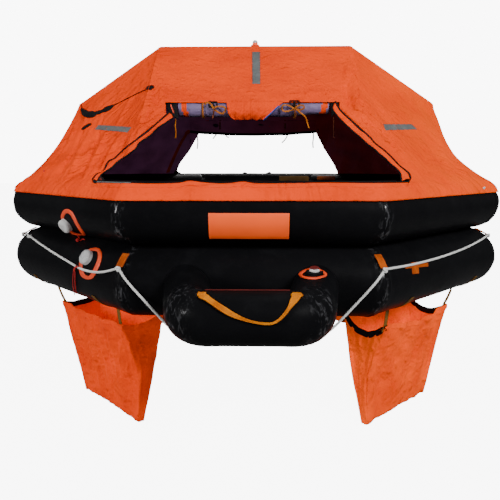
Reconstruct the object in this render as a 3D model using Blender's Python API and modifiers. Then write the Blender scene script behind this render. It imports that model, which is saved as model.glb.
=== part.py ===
"""Inflatable life raft for six people: two octagonal air tubes, a floor, an arch, a tent canopy
with two doorways, a boarding ramp in front, a webbing ladder behind and four water bags below.

Metres. +Z is up, -Y is the boarding side, +X is the right hand of someone who faces that side.
The origin is at the waterline, on the middle line of the octagon.
"""
import math

import bmesh
import bpy
from mathutils import Matrix, Vector

# Main sizes
SIDES = 8
HALF_STEP = math.pi / SIDES
OUTER_INRADIUS = 1.100      # middle line to the flat outside of the lower tube
DRAUGHT = 0.040             # the empty raft sinks this far
LOWER_TUBE_RADIUS = 0.131
UPPER_TUBE_RADIUS = 0.112
UPPER_SET_BACK = 0.0        # upper tube's outer face behind the lower tube's
TUBE_SEGMENTS = 24
GAP = 0.0003                # between pieces that touch

# Fabric and webbing
CANOPY_THICKNESS = 0.004
SKIRT_THICKNESS = 0.003
WEBBING_THICKNESS = 0.003
FLOOR_THICKNESS = 0.025
FLOOR_BOTTOM = -0.030
FLOOR_EDGE_SAGITTA = 0.0022  # the floor's straight edge stays clear of the tube's round side

# Arch and canopy, outside sizes
RIDGE_HEIGHT = 1.107
RIDGE_HALF = 0.486
SHOULDER_HEIGHT = 0.822
SHOULDER_HALF = 0.916
ARCH_RADIUS = 0.070
ARCH_CLEARANCE = 0.0030
ARCH_FOOT_HALF = 0.930
ARCH_FOOT_RISE = 0.05       # foot of the arch's line above the upper tube's middle
ARCH_BEND_RADIUS = 0.16
WRAP_ANGLES = [math.radians(a) for a in (0, 17, 34)]   # canopy rows over the arch
SLOPE_ROWS = 5
SEAM_HALF_GAP = 0.00015

# Doorways, front and rear alike
DOOR_TOP_HEIGHT = 0.770
DOOR_TOP_HALF = 0.366
DOOR_SILL_HEIGHT = 0.445
DOOR_SILL_HALF = 0.565
DOOR_CUT_BELOW = 0.045      # the cutter runs on below the sill
DOOR_CUT_HALF_DEPTH = 0.5
ROLL_HALF_LENGTH = 0.330
ROLL_HALF_DEPTH = 0.030
ROLL_HALF_HEIGHT = 0.034
ROLL_SETBACK = 0.480        # middle of the roll, measured along Y from the arch
ROLL_END_BEVEL = 0.006

# Boarding ramp
RAMP_RADIUS = 0.080
RAMP_FRONT_Y = -1.330
RAMP_FRONT_Z = 0.055
RAMP_FRONT_HALF = 0.178
RAMP_BACK_Y = -1.000
RAMP_BACK_Z = 0.096
RAMP_BACK_HALF = 0.235
RAMP_DECK_THICKNESS = 0.006

# Water bags
BAG_TOP_OUTER = (0.975, -0.115)     # distance from the middle line, height
BAG_TOP_INNER = (0.770, -0.150)
BAG_BOTTOM_OUTER = (0.905, -0.560)
BAG_BOTTOM_INNER = (0.875, -0.560)
BAG_HALF_TOP = 0.260
BAG_HALF_BOTTOM = 0.235
BAG_WALL = 0.004
BAG_STRAP_WIDTH = 0.026
BAG_STRAP_PLACE = 0.235

# Lifeline
ROPE_RADIUS = 0.005
ROPE_STANDOFF = 0.0070      # rope's middle off the tube
KNOT_LOW = 0.155            # height at the front and rear corners
KNOT_HIGH = 0.190           # height at the four other corners
ROPE_POINTS = 12

LOWER_Z = LOWER_TUBE_RADIUS - DRAUGHT
LOWER_RING = OUTER_INRADIUS - LOWER_TUBE_RADIUS
UPPER_RING = OUTER_INRADIUS - UPPER_SET_BACK - UPPER_TUBE_RADIUS
UPPER_Z = LOWER_Z + math.sqrt((LOWER_TUBE_RADIUS + UPPER_TUBE_RADIUS + GAP) ** 2
                              - (UPPER_RING - LOWER_RING) ** 2)
# Angles on the tubes are counted up from the outward horizontal. The facets start where the tubes touch.
CONTACT_ANGLE = math.atan2(UPPER_Z - LOWER_Z, UPPER_RING - LOWER_RING)
FACET = 2 * math.pi / TUBE_SEGMENTS
SKIRT_TOP = CONTACT_ANGLE + FACET
SKIRT_FACETS = 5
LANDING_ANGLE = CONTACT_ANGLE - 2 * FACET       # where the canopy meets its skirt on the upper tube
SKIRT_INNER = UPPER_TUBE_RADIUS + GAP
SKIRT_OUTER = SKIRT_INNER + SKIRT_THICKNESS
LANDING_RING = UPPER_RING + (SKIRT_OUTER + GAP) * math.cos(LANDING_ANGLE)
LANDING_Z = UPPER_Z + (SKIRT_OUTER + GAP) * math.sin(LANDING_ANGLE)

# Colours: base colour, roughness
FINISHES = {
    "tube_black": ((0.012, 0.013, 0.016), 0.42),
    "canopy_orange": ((0.80, 0.150, 0.035), 0.62),
    "door_lilac": ((0.42, 0.36, 0.50), 0.45),
    "floor_black": ((0.020, 0.020, 0.024), 0.60),
    "webbing_orange": ((0.78, 0.27, 0.03), 0.75),
    "rope_white": ((0.72, 0.72, 0.70), 0.80),
    "valve_white": ((0.66, 0.66, 0.64), 0.40),
    "lamp_grey": ((0.45, 0.46, 0.48), 0.15),
    "cylinder_grey": ((0.32, 0.33, 0.35), 0.35),
}

for old in list(bpy.data.objects):
    bpy.data.objects.remove(old, do_unlink=True)

parts = bpy.data.collections.new("life_raft")
cutters = bpy.data.collections.new("cutters")
bpy.context.scene.collection.children.link(parts)
bpy.context.scene.collection.children.link(cutters)


def make_material(name):
    colour, roughness = FINISHES[name]
    material = bpy.data.materials.new(name)
    material.use_nodes = True
    shader = material.node_tree.nodes["Principled BSDF"]
    shader.inputs["Base Color"].default_value = (*colour, 1.0)
    shader.inputs["Roughness"].default_value = roughness
    shader.inputs["Metallic"].default_value = 0.0
    return material


materials = {name: make_material(name) for name in FINISHES}


def add_object(name, data, finish=None):
    thing = bpy.data.objects.new(name, data)
    if finish is None:
        cutters.objects.link(thing)
        thing.hide_render = True
        thing.display_type = "WIRE"
    else:
        parts.objects.link(thing)
        data.materials.append(materials[finish])
    return thing


def mesh_from(name, build):
    """A mesh that the function build fills through bmesh."""
    mesh = bpy.data.meshes.new(name)
    bm = bmesh.new()
    build(bm)
    bm.to_mesh(mesh)
    bm.free()
    return mesh


def place(thing, matrix):
    """Move the mesh itself, so that the object stays at the origin."""
    thing.data.transform(matrix)
    return thing


def cut(thing, cutter, operation="DIFFERENCE"):
    modifier = thing.modifiers.new(operation.lower(), "BOOLEAN")
    modifier.operation = operation
    modifier.solver = "EXACT"
    modifier.object = cutter
    return thing


def side_frame(side, distance, height):
    """Axes of one side of the octagon: x runs along the side, -y points out, z is up."""
    turn = Matrix.Rotation(-side * 2 * HALF_STEP, 4, "Z")
    return turn @ Matrix.Translation((0, -distance, height))


def corner_point(corner, distance, height):
    """A point on the mitre line between side 'corner' and the next one, clockwise from above."""
    angle = -math.pi / 2 - (2 * corner + 1) * HALF_STEP
    reach = distance / math.cos(HALF_STEP)
    return Vector((reach * math.cos(angle), reach * math.sin(angle), height))


# Octagonal rings

def ring(name, finish, distance, height, section):
    """Turn a closed section, given as (outward, up) pairs, round eight straight sides."""
    stretch = 1 / math.cos(HALF_STEP)

    def profile(bm):
        points = [bm.verts.new(((distance + x) * stretch, 0, height + z)) for x, z in section]
        for i, point in enumerate(points):
            bm.edges.new((point, points[(i + 1) % len(points)]))

    thing = add_object(name, mesh_from(name, profile), finish)
    screw = thing.modifiers.new("octagon", "SCREW")
    screw.steps = SIDES
    screw.render_steps = SIDES
    screw.use_merge_vertices = True
    screw.merge_threshold = 0.0001
    screw.use_normal_calculate = True
    screw.use_smooth_shade = False
    thing.rotation_euler.z = HALF_STEP
    return thing


def circle_section(radius):
    angles = [CONTACT_ANGLE - i * FACET for i in range(TUBE_SEGMENTS)]
    return [(radius * math.cos(a), radius * math.sin(a)) for a in angles]


def band_section(inner, outer, top, facets):
    """A curved strip that runs down the tube's outer side from the angle top."""
    angles = [top - i * FACET for i in range(facets + 1)]
    outside = [(outer * math.cos(a), outer * math.sin(a)) for a in angles]
    inside = [(inner * math.cos(a), inner * math.sin(a)) for a in reversed(angles)]
    return outside + inside


ring("lower_tube", "tube_black", LOWER_RING, LOWER_Z, circle_section(LOWER_TUBE_RADIUS))
ring("upper_tube", "tube_black", UPPER_RING, UPPER_Z, circle_section(UPPER_TUBE_RADIUS))
ring("canopy_skirt", "canopy_orange", UPPER_RING, UPPER_Z,
     band_section(SKIRT_INNER, SKIRT_OUTER, SKIRT_TOP, SKIRT_FACETS))
lower_cutter = ring("lower_cutter", None, LOWER_RING, LOWER_Z, circle_section(LOWER_TUBE_RADIUS + GAP))
skirt_cutter = ring("skirt_cutter", None, UPPER_RING, UPPER_Z, circle_section(SKIRT_OUTER + GAP))

# Floor: an octagonal sheet that meets the lower tube's inner side


def floor_reach(height):
    drop = LOWER_Z - height
    return LOWER_RING - math.sqrt((LOWER_TUBE_RADIUS + FLOOR_EDGE_SAGITTA) ** 2 - drop ** 2)


def build_floor(bm):
    top = FLOOR_BOTTOM + FLOOR_THICKNESS
    bmesh.ops.create_cone(bm, cap_ends=True, segments=SIDES, depth=FLOOR_THICKNESS,
                          radius1=floor_reach(FLOOR_BOTTOM) / math.cos(HALF_STEP),
                          radius2=floor_reach(top) / math.cos(HALF_STEP),
                          matrix=Matrix.Translation((0, 0, FLOOR_BOTTOM + FLOOR_THICKNESS / 2))
                          @ Matrix.Rotation(HALF_STEP, 4, "Z"))


add_object("floor_sheet", mesh_from("floor_sheet", build_floor), "floor_black")


# Tubes along a line

def tube_mesh(name, points, radius, resolution, cyclic=False):
    curve = bpy.data.curves.new(name, "CURVE")
    curve.dimensions = "3D"
    curve.bevel_depth = radius
    curve.bevel_resolution = resolution
    curve.use_fill_caps = not cyclic
    spline = curve.splines.new("POLY")
    spline.points.add(len(points) - 1)
    for place_holder, point in zip(spline.points, points):
        place_holder.co = (*point, 1)
    spline.use_cyclic_u = cyclic
    guide = bpy.data.objects.new(name + "_line", curve)
    cutters.objects.link(guide)
    bpy.context.view_layer.update()
    evaluated = guide.evaluated_get(bpy.context.evaluated_depsgraph_get())
    mesh = bpy.data.meshes.new_from_object(evaluated)
    bpy.data.objects.remove(guide, do_unlink=True)
    bm = bmesh.new()
    bm.from_mesh(mesh)
    bmesh.ops.remove_doubles(bm, verts=bm.verts, dist=0.00005)
    bmesh.ops.recalc_face_normals(bm, faces=bm.faces)
    bm.to_mesh(mesh)
    bm.free()
    mesh.materials.clear()
    return mesh


def rounded_line(points, radius, steps):
    """The line through the points, each inner corner rounded to an arc."""
    line = [Vector(points[0])]
    for before, corner, after in zip(points, points[1:], points[2:]):
        before, corner, after = Vector(before), Vector(corner), Vector(after)
        to_before = (before - corner).normalized()
        to_after = (after - corner).normalized()
        half = to_before.angle(to_after) / 2
        reach = radius / math.tan(half)
        centre = corner + (to_before + to_after).normalized() * radius / math.sin(half)
        first = corner + to_before * reach - centre
        last = corner + to_after * reach - centre
        for i in range(steps + 1):
            line.append(centre + first.slerp(last, i / steps).normalized() * radius)
    line.append(Vector(points[-1]))
    return line


def mitred_tube(name, points, radius, segments=20):
    """A tube of straight runs that meet at mitres, as sewn and glued tube does."""
    path = [Vector(point) for point in points]
    runs = [(b - a).normalized() for a, b in zip(path, path[1:])]
    side = runs[0].cross(Vector((0, 0, 1))).normalized()
    up = side.cross(runs[0])

    def build(bm):
        angles = [2 * math.pi * i / segments for i in range(segments)]
        offsets = [radius * (math.cos(a) * up + math.sin(a) * side) for a in angles]
        rings = []
        for i, centre in enumerate(path):
            near = runs[max(i - 1, 0)]
            far = runs[min(i, len(runs) - 1)]
            plane = (near + far).normalized()
            offsets = [o - near * (o.dot(plane) / near.dot(plane)) for o in offsets]
            rings.append([bm.verts.new(centre + o) for o in offsets])
            offsets = [o - far * o.dot(far) for o in offsets]
        for first, second in zip(rings, rings[1:]):
            for i in range(segments):
                j = (i + 1) % segments
                bm.faces.new((first[i], first[j], second[j], second[i]))
        bm.faces.new(rings[0])
        bm.faces.new(rings[-1])
        bmesh.ops.recalc_face_normals(bm, faces=bm.faces)

    return mesh_from(name, build)


# Arch: one tube over the middle of the raft, in the plane y = 0

def offset_line(points, distance):
    """Bend points of a line moved inwards, with the mitre vector at each: (point, mitre)."""
    normals = []
    for (x0, z0), (x1, z1) in zip(points, points[1:]):
        along = Vector((x1 - x0, 0, z1 - z0)).normalized()
        normals.append(Vector((-along.z, 0, along.x)))
    result = []
    for i, (x, z) in enumerate(points):
        near = normals[max(i - 1, 0)]
        far = normals[min(i, len(normals) - 1)]
        middle = (near + far).normalized()
        mitre = middle / middle.dot(near)
        result.append((Vector((x, 0, z)) - mitre * distance, mitre))
    return result


ARCH_OUTLINE = [(-ARCH_FOOT_HALF - ARCH_RADIUS, LANDING_Z), (-SHOULDER_HALF, SHOULDER_HEIGHT),
                (-RIDGE_HALF, RIDGE_HEIGHT), (RIDGE_HALF, RIDGE_HEIGHT),
                (SHOULDER_HALF, SHOULDER_HEIGHT), (ARCH_FOOT_HALF + ARCH_RADIUS, LANDING_Z)]
SHEET_RADIUS = ARCH_RADIUS + ARCH_CLEARANCE
bends = offset_line(ARCH_OUTLINE, SHEET_RADIUS + CANOPY_THICKNESS)
foot = Vector((ARCH_FOOT_HALF, 0, UPPER_Z + ARCH_FOOT_RISE))
arch_points = [Vector((-foot.x, 0, foot.z))] + [bend for bend, _ in bends[1:5]] + [foot]
arch_mesh = tube_mesh("arch_tube", rounded_line(arch_points, ARCH_BEND_RADIUS, 4), ARCH_RADIUS, 6)
cut(add_object("arch_tube", arch_mesh, "tube_black"), skirt_cutter)


# Canopy: eight sewn panels. Each grid runs in rows from the arch down to the skirt.

def mirrored(vector, left, rear):
    return Vector((-vector.x if left else vector.x, -vector.y if rear else vector.y, vector.z))


def arch_rows(bend_index):
    """Inner face of the canopy over the arch at one bend, front side: one point a wrap angle."""
    centre, mitre = bends[bend_index]
    return [centre + SHEET_RADIUS * (math.cos(a) * mitre - math.sin(a) * Vector((0, 1, 0)))
            for a in WRAP_ANGLES]


half_side = LANDING_RING * math.tan(HALF_STEP)
# Columns at the right front: name -> (points over the arch, landing point, sag vector)
ridge_end = (arch_rows(3), Vector((half_side, -LANDING_RING, LANDING_Z)),
             Vector((-0.003, 0.006, -0.010)))
shoulder = (arch_rows(4), Vector((LANDING_RING, -half_side, LANDING_Z)),
            Vector((-0.044, 0.010, -0.034)))
FRONT_SAG = Vector((0, 0.011, -0.0167))
DIAGONAL_SAG = Vector((-0.016, 0.014, -0.026))
END_SAG = Vector((-0.0076, 0, -0.0025))


def slope_column(top_points, landing, sag):
    column = list(top_points)
    start = column[-1]
    for i in range(1, SLOPE_ROWS + 1):
        v = i / SLOPE_ROWS
        column.append(start.lerp(landing, v) + sag * 4 * v * (1 - v))
    return column


def blend_columns(first, last, middle_sag, count):
    """Columns between two creases; each is (top points, landing, sag)."""
    columns = []
    for i in range(count + 1):
        u = i / count
        tops = [a.lerp(b, u) for a, b in zip(first[0], last[0])]
        landing = first[1].lerp(last[1], u)
        crown = 4 * u * (1 - u)
        sag = first[2].lerp(last[2], u) * (1 - crown) + middle_sag * crown
        columns.append(slope_column(tops, landing, sag))
    return columns


def mirror_crease(crease, left=False, rear=False):
    tops, landing, sag = crease
    return ([mirrored(p, left, rear) for p in tops], mirrored(landing, left, rear), mirrored(sag, left, rear))


def mirror_grid(grid, left=False, rear=False):
    return [[mirrored(p, left, rear) for p in column] for column in grid]


front_grid = blend_columns(mirror_crease(ridge_end, left=True), ridge_end, FRONT_SAG, 4)
diagonal_grid = blend_columns(ridge_end, shoulder, DIAGONAL_SAG, 3)


def end_grid_columns():
    """Right end: its top edge wraps the arch's shoulder, its foot is the side's landing."""
    front_tops, front_landing, crease_sag = shoulder
    rear_tops = [mirrored(p, False, True) for p in front_tops]
    tops = list(reversed(front_tops)) + rear_tops[1:]
    count = len(tops) - 1
    columns = []
    for i, top in enumerate(tops):
        u = i / count
        landing = front_landing.lerp(mirrored(front_landing, False, True), u)
        crown = 4 * u * (1 - u)
        crease = crease_sag if u < 0.5 else mirrored(crease_sag, False, True)
        columns.append(slope_column([top], landing, crease * (1 - crown) + END_SAG * crown))
    return columns


end_grid = end_grid_columns()
PANELS = {
    "canopy_front": front_grid,
    "canopy_rear": mirror_grid(front_grid, rear=True),
    "canopy_front_right": diagonal_grid,
    "canopy_front_left": mirror_grid(diagonal_grid, left=True),
    "canopy_rear_right": mirror_grid(diagonal_grid, rear=True),
    "canopy_rear_left": mirror_grid(diagonal_grid, left=True, rear=True),
    "canopy_right": end_grid,
    "canopy_left": mirror_grid(end_grid, left=True),
}


def key(point):
    return tuple(round(value, 5) for value in point)


def cell_normal(a, b, c, d):
    normal = (c - a).cross(d - b)
    middle = (a + b + c + d) / 4
    return normal if normal.dot(middle - Vector((0, 0, 0.3))) > 0 else -normal


sheet_normals = {}
for grid in PANELS.values():
    for left_column, right_column in zip(grid, grid[1:]):
        for r in range(len(left_column) - 1):
            corners = (left_column[r], right_column[r], right_column[r + 1], left_column[r + 1])
            normal = cell_normal(*corners).normalized()
            for corner in corners:
                sheet_normals.setdefault(key(corner), Vector()).__iadd__(normal)


def panel_mesh(name, grid):
    """A grid thickened outwards along normals that it shares with its neighbours."""
    rows = len(grid[0])
    last = len(grid) - 1

    def pulled(c, r):
        point = grid[c][r].copy()
        if c == 0:
            point += (grid[1][r] - grid[0][r]).normalized() * SEAM_HALF_GAP
        if c == last:
            point += (grid[last - 1][r] - grid[last][r]).normalized() * SEAM_HALF_GAP
        if r == 0:
            point += (grid[c][1] - grid[c][0]).normalized() * SEAM_HALF_GAP
        return point

    def build(bm):
        inner = [[bm.verts.new(pulled(c, r)) for r in range(rows)] for c in range(last + 1)]
        outer = [[bm.verts.new(pulled(c, r) + sheet_normals[key(grid[c][r])].normalized() * CANOPY_THICKNESS)
                  for r in range(rows)] for c in range(last + 1)]
        for c in range(last):
            for r in range(rows - 1):
                for layer in (inner, outer):
                    bm.faces.new((layer[c][r], layer[c + 1][r], layer[c + 1][r + 1], layer[c][r + 1]))
        for c in range(last):
            for r in (0, rows - 1):
                bm.faces.new((inner[c][r], inner[c + 1][r], outer[c + 1][r], outer[c][r]))
        for r in range(rows - 1):
            for c in (0, last):
                bm.faces.new((inner[c][r], inner[c][r + 1], outer[c][r + 1], outer[c][r]))
        bmesh.ops.recalc_face_normals(bm, faces=bm.faces)

    return mesh_from(name, build)


def outline_solid(name, finish, outline, half_thickness, matrix, holes=()):
    """A flat outline in x and y, thickened along z and then placed."""
    curve = bpy.data.curves.new(name, "CURVE")
    curve.dimensions = "2D"
    curve.fill_mode = "BOTH"
    curve.extrude = half_thickness
    for loop in (outline, *holes):
        spline = curve.splines.new("POLY")
        spline.points.add(len(loop) - 1)
        for place_holder, (x, y) in zip(spline.points, loop):
            place_holder.co = (x, y, 0, 1)
        spline.use_cyclic_u = True
    guide = bpy.data.objects.new(name + "_outline", curve)
    cutters.objects.link(guide)
    bpy.context.view_layer.update()
    mesh = bpy.data.meshes.new_from_object(guide.evaluated_get(bpy.context.evaluated_depsgraph_get()))
    bpy.data.objects.remove(guide, do_unlink=True)
    bm = bmesh.new()
    bm.from_mesh(mesh)
    bmesh.ops.remove_doubles(bm, verts=bm.verts, dist=0.00005)
    bmesh.ops.recalc_face_normals(bm, faces=bm.faces)
    bm.to_mesh(mesh)
    bm.free()
    mesh.materials.clear()
    return place(add_object(name, mesh, finish), matrix)


# An outline in x and y becomes one in X and Z, or one in Y and Z
STAND_UP = Matrix.Rotation(math.pi / 2, 4, "X")
FACE_X = Matrix(((0, 0, 1, 0), (1, 0, 0, 0), (0, 1, 0, 0), (0, 0, 0, 1)))


def door_cutter(name, middle_y):
    """A doorway's prism: the trapezium that shows from the front, run through the slope."""
    spread = (DOOR_SILL_HALF - DOOR_TOP_HALF) / (DOOR_TOP_HEIGHT - DOOR_SILL_HEIGHT)
    foot_height = DOOR_SILL_HEIGHT - DOOR_CUT_BELOW
    foot_half = DOOR_SILL_HALF + spread * DOOR_CUT_BELOW
    outline = [(-foot_half, foot_height), (foot_half, foot_height),
               (DOOR_TOP_HALF, DOOR_TOP_HEIGHT), (-DOOR_TOP_HALF, DOOR_TOP_HEIGHT)]
    return outline_solid(name, None, outline, DOOR_CUT_HALF_DEPTH,
                         Matrix.Translation((0, middle_y, 0)) @ STAND_UP)


doorways = {"front": door_cutter("front_doorway", -0.9), "rear": door_cutter("rear_doorway", 0.9)}
for name, grid in PANELS.items():
    panel = add_object(name, panel_mesh(name, grid), "canopy_orange")
    for end, cutter in doorways.items():
        if end in name:
            cut(panel, cutter)


# Rolled doors, held up under the doorways' upper edges

def sheet_height(distance_out):
    """Height of the canopy's inner face on the middle line, and its slope there."""
    column = front_grid[len(front_grid) // 2]
    for upper, lower in zip(column, column[1:]):
        if -upper.y <= distance_out <= -lower.y:
            share = (distance_out + upper.y) / (upper.y - lower.y)
            return upper.z + (lower.z - upper.z) * share, (upper.z - lower.z) / (upper.y - lower.y)
    return column[-1].z, 0.0


def door_roll(name, sign):
    _, slope = sheet_height(ROLL_SETBACK)
    normal = Vector((0, slope, 1)).normalized()
    support = math.hypot(ROLL_HALF_DEPTH * normal.y, ROLL_HALF_HEIGHT * normal.z)
    touch_out = ROLL_SETBACK + ROLL_HALF_DEPTH ** 2 * normal.y / support
    touch_height, _ = sheet_height(touch_out)
    centre_z = touch_height - ROLL_HALF_HEIGHT ** 2 * normal.z / support - 2 * GAP

    def build(bm):
        bmesh.ops.create_cone(bm, cap_ends=True, segments=20, radius1=1, radius2=1, depth=2 * ROLL_HALF_LENGTH)
        bm.transform(Matrix.Diagonal((ROLL_HALF_HEIGHT, ROLL_HALF_DEPTH, 1, 1)))
        bm.transform(Matrix.Rotation(math.pi / 2, 4, "Y"))

    roll = place(add_object(name, mesh_from(name, build), "door_lilac"),
                 Matrix.Translation((0, sign * ROLL_SETBACK, centre_z)))
    bevel = roll.modifiers.new("soft_ends", "BEVEL")
    bevel.width = ROLL_END_BEVEL
    bevel.segments = 1
    bevel.limit_method = "ANGLE"


door_roll("front_door_roll", -1)
door_roll("rear_door_roll", 1)


# Turned pieces

def turned(name, finish, profile, matrix, steps=20):
    """A profile of (radius, height) pairs, from the top of the axis to its foot."""
    def build(bm):
        points = [bm.verts.new((x, 0, z)) for x, z in profile]
        for a, b in zip(points, points[1:]):
            bm.edges.new((a, b))

    thing = add_object(name, mesh_from(name, build), finish)
    screw = thing.modifiers.new("turn", "SCREW")
    screw.steps = steps
    screw.render_steps = steps
    screw.use_merge_vertices = True
    screw.merge_threshold = 0.0001
    screw.use_smooth_shade = False
    thing.matrix_world = matrix
    return thing


LAMP_PROFILE = [(0, 0.030), (0.009, 0.027), (0.013, 0.020), (0.013, 0.006),
                (0.021, 0.006), (0.021, 0), (0, 0)]
turned("canopy_lamp", "lamp_grey", LAMP_PROFILE, Matrix.Translation((0, 0, RIDGE_HEIGHT + GAP)))

VALVE_PROFILE = [(0, 0.022), (0.013, 0.020), (0.022, 0.014), (0.026, 0.005), (0.026, 0), (0, 0)]


def on_tube(side, along, angle, ring_distance, ring_height, radius):
    """A frame on a tube's surface: z points straight out of the tube."""
    frame = side_frame(side, ring_distance, ring_height) @ Matrix.Translation((along, 0, 0))
    tilt = Matrix.Rotation(math.pi / 2 - angle, 4, "X")
    return frame @ tilt @ Matrix.Translation((0, 0, radius + GAP))


# Valves on the tubes: name, side, place along it, angle above the horizontal, ring, height, radius
VALVES = [
    ("upper_valve", 1, 0.045, math.radians(-35), UPPER_RING, UPPER_Z, UPPER_TUBE_RADIUS),
    ("lower_valve", 1, 0.214, math.radians(31), LOWER_RING, LOWER_Z, LOWER_TUBE_RADIUS),
]
for name, side, along, angle, distance, height, radius in VALVES:
    turned(name, "valve_white", VALVE_PROFILE, on_tube(side, along, angle, distance, height, radius))

# Sign plate on the front of the upper tube, blank


def arc_outline(inner, outer, angles):
    """A curved strip in (outward, up), as an outline for FACE_X with outward along -y."""
    outside = [(-outer * math.cos(a), outer * math.sin(a)) for a in angles]
    inside = [(-inner * math.cos(a), inner * math.sin(a)) for a in reversed(angles)]
    return outside + inside


SIGN_TOP = math.radians(5.5)
SIGN_BOTTOM = math.radians(-44)
tube_facets = [CONTACT_ANGLE - i * FACET for i in range(TUBE_SEGMENTS)]
SIGN_ANGLES = [SIGN_TOP] + [a for a in tube_facets if SIGN_BOTTOM < a < SIGN_TOP] + [SIGN_BOTTOM]
SIGN_HALF_WIDTH = 0.135
SIGN_MIDDLE = -0.007
SIGN_THICKNESS = 0.0012
sign_outline = arc_outline(UPPER_TUBE_RADIUS + GAP, UPPER_TUBE_RADIUS + GAP + SIGN_THICKNESS, SIGN_ANGLES)
outline_solid("sign_plate", "webbing_orange", sign_outline, SIGN_HALF_WIDTH,
              Matrix.Translation((SIGN_MIDDLE, -UPPER_RING, UPPER_Z)) @ FACE_X)

# Boarding ramp: a U of tube on the front side, with a deck between its legs


RAMP_LINE = [(-RAMP_BACK_HALF, RAMP_BACK_Y, RAMP_BACK_Z), (-RAMP_FRONT_HALF, RAMP_FRONT_Y, RAMP_FRONT_Z),
             (RAMP_FRONT_HALF, RAMP_FRONT_Y, RAMP_FRONT_Z), (RAMP_BACK_HALF, RAMP_BACK_Y, RAMP_BACK_Z)]
bolster = add_object("ramp_bolster", mitred_tube("ramp_bolster", RAMP_LINE, RAMP_RADIUS), "tube_black")
cut(bolster, lower_cutter)
bolster_cutter = add_object("bolster_cutter", mitred_tube("bolster_cutter", RAMP_LINE, RAMP_RADIUS + GAP))

deck_slope = math.atan2(RAMP_BACK_Z - RAMP_FRONT_Z, RAMP_BACK_Y - RAMP_FRONT_Y)
deck_reach = (RAMP_BACK_Y - RAMP_FRONT_Y) / math.cos(deck_slope)
deck_outline = [(-RAMP_FRONT_HALF, 0), (RAMP_FRONT_HALF, 0),
                (RAMP_BACK_HALF, deck_reach), (-RAMP_BACK_HALF, deck_reach)]
deck = outline_solid("ramp_deck", "tube_black", deck_outline, RAMP_DECK_THICKNESS / 2,
                     Matrix.Translation((0, RAMP_FRONT_Y, RAMP_FRONT_Z)) @ Matrix.Rotation(deck_slope, 4, "X"))
cut(cut(deck, bolster_cutter), lower_cutter)

# Valve on top of the ramp's right leg
LEG_VALVE_SHARE = 0.62      # how far back along the leg
leg_start = Vector((RAMP_FRONT_HALF, RAMP_FRONT_Y, RAMP_FRONT_Z))
leg_end = Vector((RAMP_BACK_HALF, RAMP_BACK_Y, RAMP_BACK_Z))
leg_point = leg_start.lerp(leg_end, LEG_VALVE_SHARE)
leg_along = (leg_end - leg_start).normalized()
leg_up = (Vector((0, 0, 1)) - leg_along * leg_along.z).normalized()
leg_side = leg_along.cross(leg_up)
leg_axes = Matrix((leg_side, leg_along, leg_up)).transposed().to_4x4()
turned("ramp_valve", "valve_white", VALVE_PROFILE,
       Matrix.Translation(leg_point + leg_up * (RAMP_RADIUS + GAP)) @ leg_axes)


# Ramp handle: a webbing strap that lies round the bolster's front and swings out about its sewn ends

HANDLE_WIDTH = 0.024
HANDLE_HALF = 0.138
HANDLE_PIVOT_ANGLE = math.radians(64)
HANDLE_HEM_RADIUS = 0.004
HANDLE_CLEARANCE = 0.0055
HANDLE_LOW_ANGLE = math.radians(4)
HANDLE_LOW_PLACE = 0.42     # where it hangs lowest, from its middle (0) to its right end (1)
HANDLE_STEPS = 12
HANDLE_HEM_CLEARANCE = 0.0003
HANDLE_HEM_LIFT = GAP       # between the hem and the bolster
TAB_LENGTH = 0.030
TAB_THICKNESS = 0.003


def bolster_point(x, angle, radius):
    return Vector((x, RAMP_FRONT_Y - radius * math.cos(angle), RAMP_FRONT_Z + radius * math.sin(angle)))


handle_pivot = bolster_point(0, HANDLE_PIVOT_ANGLE, RAMP_RADIUS + HANDLE_HEM_RADIUS + HANDLE_HEM_LIFT)


def build_handle(bm):
    """A flat strip swept along a hanging line; each section is four corners."""
    low_radius = RAMP_RADIUS + HANDLE_CLEARANCE
    line = []
    for i in range(HANDLE_STEPS + 1):
        u = 2 * i / HANDLE_STEPS - 1
        reach = 1 - HANDLE_LOW_PLACE if u > HANDLE_LOW_PLACE else 1 + HANDLE_LOW_PLACE
        drop = 1 - ((u - HANDLE_LOW_PLACE) / reach) ** 2
        angle = HANDLE_PIVOT_ANGLE + (HANDLE_LOW_ANGLE - HANDLE_PIVOT_ANGLE) * drop
        line.append((HANDLE_HALF * u, angle))
    sections = []
    for i, (x, angle) in enumerate(line):
        before = line[max(i - 1, 0)]
        after = line[min(i + 1, HANDLE_STEPS)]
        along = Vector((after[0] - before[0], (after[1] - before[1]) * low_radius)).normalized()
        if i == 0:
            along = Vector((0, -1))     # the ends hang straight down from their tabs
        if i == HANDLE_STEPS:
            along = Vector((0, 1))
        across = Vector((-along.y, along.x)) * HANDLE_WIDTH / 2
        section = []
        for side, depth in ((1, 0), (1, WEBBING_THICKNESS), (-1, WEBBING_THICKNESS), (-1, 0)):
            place_x = x + side * across.x
            place_angle = angle + side * across.y / low_radius
            section.append(bm.verts.new(bolster_point(place_x, place_angle, low_radius + depth)))
        sections.append(section)
    for a, b in zip(sections, sections[1:]):
        for i in range(4):
            j = (i + 1) % 4
            bm.faces.new((a[i], a[j], b[j], b[i]))
    bm.faces.new(sections[0])
    bm.faces.new(reversed(sections[-1]))
    bmesh.ops.recalc_face_normals(bm, faces=bm.faces)


def pivoted(name, finish, mesh, pivot):
    """An object whose origin is at its joint, from a mesh made in place."""
    mesh.transform(Matrix.Translation(-pivot))
    thing = add_object(name, mesh, finish)
    thing.location = pivot
    return thing


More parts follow.
